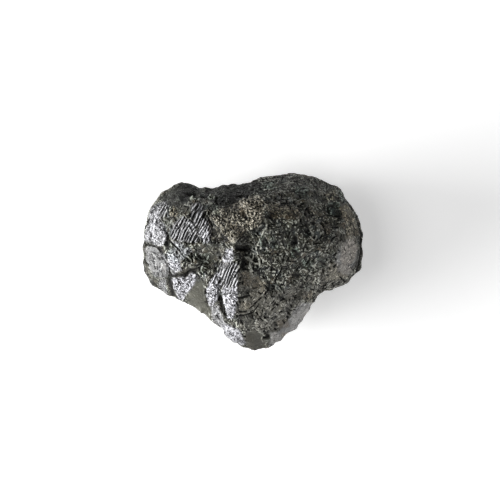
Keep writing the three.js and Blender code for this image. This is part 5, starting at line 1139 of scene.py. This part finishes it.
def relief(p, n, tree):
    """How far each point is moved along its normal, in mm, and the values that the material reads."""
    up = n[:, 2]
    w = weights(p, up)
    q = plan_of(p)
    c = p @ TURN.T
    front = ramp(up, -0.05, 0.2)
    silver_sheen, tan = w["silver_sheen"], w["tan"]
    sugar = np.maximum(silver_sheen, tan)
    calm = spared(w["smooth"], 0.8)
    plain = (1 - sugar) * calm

    count, striped = striped_zones(q, front)
    lined = np.minimum(striped, 1)
    between = count % 1
    lines = striped * (np.minimum(between / CLIMB, (1 - between) / FALL) - 0.5)
    ridge = strokes(q, RIDGES) * front
    groove = strokes(q, GROOVES) * front
    crest, cut = sharpened(ridge), sharpened(groove)
    drawn = np.clip(crest + cut, 0, 1)

    broad, plate, small, number, gap, arris = plated(p, c)
    grain = crystals(c, 0.10, 100) - GRAIN_LEVEL
    fine = crystals(c, 0.065, 110) - GRAIN_LEVEL
    pale, dark, steps = both_scored(p, tree)

    free = spared(drawn, 0.8) * spared(lined, 0.7)
    clear = calm * spared(drawn, 0.8) * spared(sugar, 0.6) * spared(lined, 0.6)
    quiet = calm * spared(drawn, 0.7) * spared(sugar, 0.6) * spared(lined, 0.6)
    d = BROAD_PLATES * broad * calm * spared(silver_sheen, 0.5) + steps * spared(drawn, 0.7) * (0.3 + 0.7 * calm)
    d += quiet * (SCORED_RIDGES * sharpened(pale) - SCORED_GAPS * sharpened(dark))
    d += (PLATES * plate + PLATE_EDGES * (arris - gap)) * calm * spared(drawn, 0.5) * spared(silver_sheen, 0.6)
    d += SMALL_PLATES * small * plain * free
    for heights, crystal in ((COARSE_GRAIN, grain), (FINE_GRAIN, fine)):
        d += free * (heights[0] * silver_sheen + heights[1] * tan + heights[2] * plain) * crystal
    d += PARALLEL_RIDGES * lines
    d += (spared(sugar, 0.6) * (CRESTS * crest - CUTS * cut) - DARK_PLACES * w["dark"]
          + PALE_PATCHES * np.clip(w["tone"], -1.2, 0.8) * front)
    for x, y, reach, height in CORNERS:
        d += height * (1 - ramp(from_place(q, x, y), 0, reach)) * (1 - up * up)

    # lit is painted light and shade on the relief: crystal points and arrises paler, the ground between the
    # points and the plates' gaps darker, with a random tone for each plate
    lit = free * (0.25 * silver_sheen + 0.4 * tan) * grain + free * (0.6 * sugar + 0.05 * plain) * fine
    lit += calm * spared(sugar, 0.8) * (0.14 * (number - 0.5) - 0.18 * gap + 0.10 * arris)
    steep = (1 - ramp(up, 0.25, 0.75)) * (1 - sugar)
    w.update({
        "arris": pale * clear,
        "crack": dark * clear,
        "lit": lit,
        "ridge": ridge,
        "groove": groove,
        "count": count,
        "striped": striped,
        "steep": steep,
        "restless": (1 + 0.5 * steep) * calm * spared(lined, 0.6) * (1 - 0.4 * drawn * (1 - sugar)),
    })
    return d * ramp(p[:, 2], 0.0, 0.25), w


# ---------------------------------------------------------------- the stone

DETAIL_KEPT = 0.15  # of the solid's finest detail
PIT_MIDDLE, PIT_RIM = 4.0, 11.0  # plan units from a pit's middle, all filled in and none filled past
PIT_LOWEST = 1.0  # mm, what is lower than this isn't filled
# How many times each is relaxed.
EASE_PASSES, DETAIL_PASSES, FILL_PASSES = 12, 40, 90
EVEN_PASSES, NORMAL_PASSES = 3, 10


def eased_solid():
    """The CAD's solid as an even mesh in mm, with its finest detail softened and its chance pits closed."""
    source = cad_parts["rough_diamond"].data.copy()
    source.transform(Matrix.Scale(1 / MM, 4))
    mesh = remeshed(source, COARSE_VOXEL)
    p, edges = points_and_edges(mesh)
    eased = relaxed(p, edges, EASE_PASSES)
    detail = p - eased
    shrunk = relaxed(detail, edges, DETAIL_PASSES)
    p = eased + shrunk + DETAIL_KEPT * (detail - shrunk)
    filled = relaxed(p, edges, FILL_PASSES)
    q = plan_of(p)
    closed = np.zeros(len(p))
    for x, y in CLOSED:
        closed = np.maximum(closed, 1 - ramp(from_place(q, x, y), PIT_MIDDLE, PIT_RIM))
    closed *= p[:, 2] > PIT_LOWEST
    p += closed[:, None] * (filled - p)
    p[:, 2] = np.maximum(p[:, 2], 0)
    place_points(mesh, p)
    return mesh


def stone():
    """The stone as one piece, with the values that its material reads on its points."""
    mesh = eased_solid()
    points = [v.co.copy() for v in mesh.vertices]
    tree = BVHTree.FromPolygons(points, [tuple(f.vertices) for f in mesh.polygons])
    mesh = remeshed(mesh, VOXEL)
    p, edges = points_and_edges(mesh)
    flat = p[:, 2] < 0.5 * VOXEL
    p = relaxed(p, edges, EVEN_PASSES, 0.5)
    p[flat, 2] = 0
    place_points(mesh, p)
    n = relaxed(normals_of(mesh), edges, NORMAL_PASSES)
    n /= np.linalg.norm(n, axis=1)[:, None] + 1e-9
    d, finish = relief(p, n, tree)
    for name, values in finish.items():
        layer = mesh.attributes.new(name, "FLOAT", "POINT")
        layer.data.foreach_set("value", values.astype(np.float32))
    p = p + n * d[:, None]
    p[:, 2] = np.maximum(p[:, 2], 0)
    place_points(mesh, p)
    hidden = n[:, 2] < 0.0
    triangles = 2 * len(mesh.polygons)
    mesh = thinned(mesh, (triangles * (1 - hidden.mean()) + BACK_TRIANGLES) / triangles, hidden)
    mesh = thinned(mesh, TRIANGLES / len(mesh.polygons))
    mesh.materials.clear()
    mesh.transform(Matrix.Scale(MM, 4))
    piece = bpy.data.objects.new("black_diamond_stone", mesh)
    bpy.context.scene.collection.objects.link(piece)
    return piece


# ---------------------------------------------------------------- material

# Body colours of the finishes, red, green and blue. The silver body is pale partly as painted sheen.
GREY_GREEN, PALER_GREY_GREEN = (0.034, 0.035, 0.025), (0.072, 0.071, 0.053)
BROWNISH, BLUISH = (0.083, 0.067, 0.044), (0.044, 0.053, 0.052)
WARM_BODY, WAXY_BODY = (0.118, 0.112, 0.094), (0.070, 0.069, 0.055)
TAN_BODY, SILVER_SHEEN_BODY = (0.21, 0.19, 0.145), (0.32, 0.32, 0.34)
# Their pale crests and the palest glints, painted highlights, and their dark hollows, painted shade; faces
# paler or darker by chance take these colours too.
PLAIN_CREST, WARM_CREST = (0.40, 0.405, 0.355), (0.41, 0.402, 0.355)
TAN_CREST, SILVER_SHEEN_CREST = (0.58, 0.53, 0.43), (0.80, 0.80, 0.85)
GLINT = (0.80, 0.79, 0.72)
HOLLOW_SHADE, SILVER_HOLLOW_SHADE = (0.003, 0.003, 0.002), (0.05, 0.05, 0.053)
# Painted shade for the deep places.
PAINTED_PIT_SHADE = (0.004, 0.004, 0.004)
# What a body colour is multiplied by.
UNCHANGED, BROWNER, GREENER = (1.0, 1.0, 1.0), (1.12, 0.98, 0.82), (0.86, 1.03, 1.0)

# The small faces' sizes in mm, and the directions in degrees that the long thin ones, the slivers, lie along.
COARSE_FACE, SMALL_FACE, PATCH = 0.070, 0.040, 0.34
SLIVER, LEVEL_SLIVER = 0.037, 0.041
LEFT_TURN, RIGHT_TURN, LEVEL_TURN = 118, 58, 5
SLIVER_RISE = 0.3  # how far the slivers climb along their length
SLIVER_STRETCH = 0.76  # the share of each distance along them that is taken off, for about 4 widths


class Nodes:
    """The shader nodes of one material. A value is a socket, a number, or three numbers."""

    def __init__(self, name):
        self.material = bpy.data.materials.new(name)
        self.material.use_nodes = True
        self.tree = self.material.node_tree
        self.shader = self.tree.nodes["Principled BSDF"]
        self.place = self.node("TexCoord", {}).outputs["Object"]

    def node(self, kind, inputs, **settings):
        """A new node with these settings, and with these values put into its inputs."""
        made = self.tree.nodes.new("ShaderNode" + kind)
        for name, value in settings.items():
            setattr(made, name, value)
        for where, value in inputs.items():
            self.put(value, made.inputs[where])
        return made

    def put(self, value, socket):
        if isinstance(value, bpy.types.NodeSocket):
            self.tree.links.new(value, socket)
        elif isinstance(value, tuple) and socket.type == "RGBA":
            socket.default_value = (*value, 1)
        else:
            socket.default_value = value

    def attribute(self, name):
        return self.node("Attribute", {}, attribute_name=name).outputs["Fac"]

    def maths(self, operation, a, b=0.0):
        return self.node("Math", {0: a, 1: b}, operation=operation).outputs[0]

    def times(self, a, b):
        return self.maths("MULTIPLY", a, b)

    def plus(self, a, b):
        return self.maths("ADD", a, b)

    def minus(self, a, b):
        return self.maths("SUBTRACT", a, b)

    def vector(self, operation, a, b):
        second = 3 if operation == "SCALE" else 1
        made = self.node("VectorMath", {0: a, second: b}, operation=operation)
        return made.outputs["Value" if operation == "DOT_PRODUCT" else "Vector"]

    def stretched(self, value, low, high):
        """0 at low, 1 at high and straight between, and no further."""
        return self.node("MapRange", {"From Min": low, "From Max": high, "Value": value}).outputs["Result"]

    def mixed(self, share, a, b):
        """The colour a, or b where the share is 1."""
        return self.node("Mix", {"Factor": share, 6: a, 7: b}, data_type="RGBA").outputs[2]

    def blended(self, share, a, b):
        """The number a, or b where the share is 1."""
        return self.plus(self.times(a, self.minus(1.0, share)), self.times(b, share))

    def centred(self, value, share):
        return self.times(self.minus(value, 0.5), share)

    def noise(self, scale, low, high, detail=2.0):
        """Noise of this many features in a metre, stretched from low to high."""
        made = self.node("TexNoise", {"Scale": scale, "Detail": detail, "Vector": self.place})
        return self.stretched(made.outputs["Fac"], low, high)

    def facets(self, spacing, turn=None):
        """Small flat faces, each tilted its own way: a number for each, and its height in metres.

        With a turn they are long and thin, and lie along that direction."""
        spot = self.place
        if turn is not None:
            a = math.radians(turn)
            along = tuple(Vector((math.cos(a), math.sin(a), SLIVER_RISE)).normalized())
            run = self.times(self.vector("DOT_PRODUCT", spot, along), SLIVER_STRETCH)
            spot = self.vector("SUBTRACT", spot, self.vector("SCALE", along, run))
        cell = self.node("TexVoronoi", {"Scale": 1 / (spacing * MM), "Vector": spot})
        tilt = self.vector("SUBTRACT", cell.outputs["Color"], (0.5, 0.5, 0.5))
        off = self.vector("SUBTRACT", spot, cell.outputs["Position"])
        number = self.node("SeparateColor", {"Color": cell.outputs["Color"]}).outputs["Red"]
        return number, self.vector("DOT_PRODUCT", tilt, off)

    def net(self, spacing, width):
        """The borders of small cells: 1 on a border, 0 beside it."""
        sizes = {"Scale": 1 / (spacing * MM), "Vector": self.place}
        cell = self.node("TexVoronoi", sizes, feature="DISTANCE_TO_EDGE")
        return self.stretched(cell.outputs["Distance"], width, 0.3 * width)


class Faces:
    """The small faces of the stone's surface: a number for each, and heights in metres."""

    def __init__(self, g):
        self.coarse, self.coarse_height = g.facets(COARSE_FACE)
        self.small, self.small_height = g.facets(SMALL_FACE)
        self.patch, self.patch_height = g.facets(PATCH)
        left, left_height = g.facets(SLIVER, LEFT_TURN)
        right, right_height = g.facets(SLIVER, RIGHT_TURN)
        flat, flat_height = g.facets(LEVEL_SLIVER, LEVEL_TURN)
        leans_left = g.maths("GREATER_THAN", self.patch, 0.58)
        lies_level = g.maths("LESS_THAN", self.patch, 0.2)
        leaning = g.blended(leans_left, right, left)
        leaning_height = g.blended(leans_left, right_height, left_height)
        self.sliver = g.blended(lies_level, leaning, flat)
        self.sliver_height = g.blended(lies_level, leaning_height, flat_height)


def chance_of(g, faces, sugar):
    """How pale each small face is by chance, sugary ones and plain ones apart."""
    sugary = g.plus(g.centred(faces.coarse, 0.35), g.centred(faces.small, 1.25))
    busy = g.plus(0.45, g.times(0.65, g.noise(1400, 0.42, 0.58)))
    plain = g.plus(g.centred(faces.small, 0.15), g.centred(faces.sliver, 0.55))
    plain = g.plus(g.times(plain, busy), g.centred(faces.patch, 0.15))
    return g.blended(sugar, plain, sugary)


def saw_of(g, count, striped):
    """The parallel ridges' height: from 0 to 1 across each one, times how strong they are there."""
    between = g.maths("FRACT", count)
    falling = g.maths("DIVIDE", g.minus(1.0, between), FALL)
    return g.times(striped, g.maths("MINIMUM", g.maths("DIVIDE", between, CLIMB), falling))


def parallel_lines(g, values, saw):
    """Parallel ridges painted as a bright line beside a dark one, highlight and shade, and some stronger than
    others.
    """
    number = g.node("TexWhiteNoise", {"W": g.maths("FLOOR", values["count"])}, noise_dimensions="1D")
    strong = g.plus(g.times(number.outputs["Value"], 0.7), g.noise(5200, 0.35, 0.65))
    return g.times(g.minus(saw, g.times(values["striped"], 0.70)), strong)


def glints(g, number, pale_from, pale, dark_from, dark):
    """Single faces with a painted glint (1), or dark (-1), by each one's number."""
    return g.minus(g.stretched(number, pale_from, pale), g.stretched(number, dark_from, dark))


def level_of(g, values, faces, sugar, plain, cracks, saw):
    """How pale (+) or dark (-) each spot is against its finish's middle tone: painted light and shade, and
    some chance.
    """
    arrises = g.times(g.net(0.31, 0.06), g.noise(3600, 0.54, 0.62))
    chips = g.times(g.net(0.13, 0.09), g.noise(2100, 0.45, 0.58))
    level = g.plus(values["lit"], g.times(chance_of(g, faces, sugar), values["restless"]))
    level = g.minus(level, g.times(g.times(cracks, plain), 0.9))
    level = g.plus(level, g.times(g.times(arrises, plain), 0.6))
    level = g.plus(level, g.times(g.stretched(values["arris"], 0.55, 0.80), 0.9))
    level = g.minus(level, g.times(g.stretched(values["crack"], 0.45, 0.70), 1.1))
    level = g.minus(level, g.times(g.times(chips, plain), 0.45))
    # painted glints on single faces
    level = g.plus(level, g.times(g.times(glints(g, faces.sliver, 0.86, 0.93, 0.15, 0.08), plain), 0.75))
    level = g.plus(level, g.times(g.times(glints(g, faces.small, 0.92, 0.97, 0.10, 0.04), plain), 0.35))
    level = g.plus(level, g.times(parallel_lines(g, values, saw), 2.4))
    shown = g.minus(1.0, g.times(sugar, 0.6))
    # painted highlight: the ridges' crests made paler
    level = g.plus(level, g.times(g.stretched(values["ridge"], 0.5, 0.95), g.times(shown, 0.8)))
    level = g.plus(level, g.times(g.stretched(values["ridge"], 0.9, 1.2), 0.5))
    # painted shade: the grooves made darker inside
    level = g.minus(level, g.times(g.stretched(values["groove"], 0.45, 0.85), g.times(shown, 1.2)))
    return g.times(level, g.plus(0.65, g.times(sugar, 0.35)))


def colour_of(g, values, level):
    """The middle tone of each finish, its pale crests and glints as painted highlights, and its dark hollows
    as painted shade.
    """
    silver_sheen, tan, warm, hue = values["silver_sheen"], values["tan"], values["warm"], values["hue"]
    body = g.mixed(g.noise(900, 0.35, 0.65), GREY_GREEN, PALER_GREY_GREEN)
    body = g.mixed(g.noise(3200, 0.52, 0.66, 3.0), body, BROWNISH)
    body = g.mixed(g.noise(2300, 0.46, 0.34), body, BLUISH)
    body = g.mixed(warm, body, WARM_BODY)
    body = g.mixed(g.times(values["smooth"], 0.85), body, WAXY_BODY)
    body = g.mixed(tan, body, TAN_BODY)
    # painted sheen: the silver areas' pale body, partly their own grey
    body = g.mixed(silver_sheen, body, SILVER_SHEEN_BODY)
    crest = g.mixed(warm, PLAIN_CREST, WARM_CREST)
    crest = g.mixed(tan, crest, TAN_CREST)
    crest = g.mixed(silver_sheen, crest, SILVER_SHEEN_CREST)
    # painted highlights: pale crests where the level is high, partly from faces paler by chance
    body = g.mixed(g.stretched(level, 0.06, 0.45), body, crest)
    # painted glints: the palest colour where the level is highest
    body = g.mixed(g.stretched(level, 0.95, 1.4), body, GLINT)
    # faces and patches that are paler or darker, partly their own tone and partly painted light and shade,
    # browner or greener
    body = g.vector("SCALE", body, g.maths("POWER", 2.0, values["tone"]))
    body = g.vector("MULTIPLY", body, g.mixed(g.stretched(hue, 0.0, 1.0), UNCHANGED, BROWNER))
    body = g.vector("MULTIPLY", body, g.mixed(g.stretched(hue, 0.0, -1.0), UNCHANGED, GREENER))
    # painted shade in hollows, grooves and gaps where the level is low, partly from faces darker by chance
    body = g.mixed(g.stretched(level, -0.08, -0.42), body, g.mixed(silver_sheen, HOLLOW_SHADE, SILVER_HOLLOW_SHADE))
    body = g.mixed(g.stretched(level, -0.38, -0.70), body, HOLLOW_SHADE)
    # painted shade over the deep places
    return g.mixed(g.times(values["dark"], 0.7), body, PAINTED_PIT_SHADE)


def roughness_of(g, values, level):
    """Waxy faces, hollows and steep sides are duller than the rest."""
    rough = g.plus(g.times(g.noise(12000, 0.38, 0.62), 0.10), 0.20)
    rough = g.plus(rough, g.times(values["smooth"], 0.16))
    rough = g.plus(rough, g.times(g.stretched(level, 0.0, -0.6), 0.4))
    return g.plus(rough, g.times(values["steep"], 0.35))


def height_of(g, values, faces, sugar, plain, cracks, saw):
    """The height of the finest facets, ridges and cracks, in metres."""
    plain_height = g.plus(g.times(faces.patch_height, 0.15), g.times(faces.sliver_height, 0.35))
    sugar_height = g.times(g.plus(faces.coarse_height, faces.small_height), 0.5)
    height = g.times(g.blended(sugar, plain_height, sugar_height), values["restless"])
    height = g.plus(height, g.times(saw, 0.010 * MM))
    return g.minus(height, g.times(g.times(cracks, plain), 0.008 * MM))


# The values that the relief leaves on the mesh's points.
READ = ("silver_sheen", "tan", "smooth", "warm", "dark", "lit", "tone", "hue", "ridge", "groove", "count",
        "striped", "restless", "arris", "crack", "steep")


def material():
    """The stone's one material, which reads the finish of each point from the mesh."""
    g = Nodes("black diamond")
    values = {name: g.attribute(name) for name in READ}
    faces = Faces(g)
    sugar = g.maths("MAXIMUM", values["silver_sheen"], values["tan"])
    plain = g.times(values["restless"], g.minus(1.0, g.times(sugar, 0.8)))
    cracks = g.times(g.net(0.25, 0.09), g.noise(2600, 0.47, 0.56))
    saw = saw_of(g, values["count"], values["striped"])
    level = level_of(g, values, faces, sugar, plain, cracks, saw)
    height = height_of(g, values, faces, sugar, plain, cracks, saw)
    bump = g.node("Bump", {"Strength": 1.0, "Distance": 1.0, "Height": height})
    g.shader.inputs["IOR"].default_value = 1.5
    g.shader.inputs["Specular IOR Level"].default_value = 0.35
    g.put(colour_of(g, values, level), g.shader.inputs["Base Color"])
    g.put(roughness_of(g, values, level), g.shader.inputs["Roughness"])
    g.put(bump.outputs["Normal"], g.shader.inputs["Normal"])
    return g.material


piece = stone()
piece.data.materials.append(material())
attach(piece, "root")
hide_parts("rough_diamond")


# ---------------------------------------------------------------- floor, light, camera

FLOOR_SIZE = 0.6  # m
FLOOR_COLOUR = (0.92, 0.92, 0.92, 1)
WHITE = (1, 1, 1, 1)
STONE_MIDDLE = 0.0025  # m above the floor
LAMP_DISTANCE, LAMP_SIZE = 0.12, 0.07  # m
CAMERA_DISTANCE = 0.15  # m
SENSOR = 36  # mm
# Each lamp: degrees round from +X, degrees up, and power in watts.
LAMPS = {
    "key": (189, 14, 0.30),
    "high left": (185, 60, 0.045),
    "low fill": (303, 20, 0.065),
    "right fill": (0, 12, 0.035),
}


def floor():
    """A pale floor that shines a little itself."""
    bpy.ops.mesh.primitive_plane_add(size=FLOOR_SIZE)
    f = bpy.context.object
    f.name = "floor"
    m = bpy.data.materials.new("pale floor")
    m.use_nodes = True
    s = m.node_tree.nodes["Principled BSDF"]
    s.inputs["Base Color"].default_value = FLOOR_COLOUR
    s.inputs["Roughness"].default_value = 0.9
    s.inputs["Emission Color"].default_value = WHITE
    s.inputs["Emission Strength"].default_value = 0.35
    f.data.materials.append(m)


def lamp(name, turn, height, power):
    """A square soft light aimed at the stone."""
    light = bpy.data.lights.new(name, "AREA")
    light.size = LAMP_SIZE
    light.energy = power
    ob = bpy.data.objects.new(name, light)
    bpy.context.scene.collection.objects.link(ob)
    a, e = math.radians(turn), math.radians(height)
    out = Vector((math.cos(a) * math.cos(e), math.sin(a) * math.cos(e), math.sin(e)))
    ob.location = out * LAMP_DISTANCE + Vector((0, 0, STONE_MIDDLE))
    ob.rotation_euler = (-out).to_track_quat("-Z", "Y").to_euler()
    ob.visible_camera = False


def surroundings():
    """A faint white light from all round, and the standard view of the tones."""
    world = bpy.data.worlds.new("studio")
    bpy.context.scene.world = world
    world.use_nodes = True
    background = world.node_tree.nodes["Background"]
    background.inputs["Color"].default_value = WHITE
    background.inputs["Strength"].default_value = 0.01
    bpy.context.scene.view_settings.view_transform = "Standard"


def camera():
    """A camera straight above, that sees the whole plan."""
    made = bpy.data.cameras.new("camera")
    made.sensor_width = SENSOR
    made.lens = SENSOR * CAMERA_DISTANCE / (PLAN_SIZE * UNIT * MM)
    made.clip_start = 0.001
    holder = bpy.data.objects.new("camera", made)
    bpy.context.scene.collection.objects.link(holder)
    half = PLAN_SIZE / 2
    holder.location = ((half - MIDDLE_ACROSS) * UNIT * MM, (MIDDLE_DOWN - half) * UNIT * MM,
                       CAMERA_DISTANCE + STONE_MIDDLE)
    bpy.context.scene.camera = holder


floor()
for name, (turn, height, power) in LAMPS.items():
    lamp(name, turn, height, power)
surroundings()
camera()
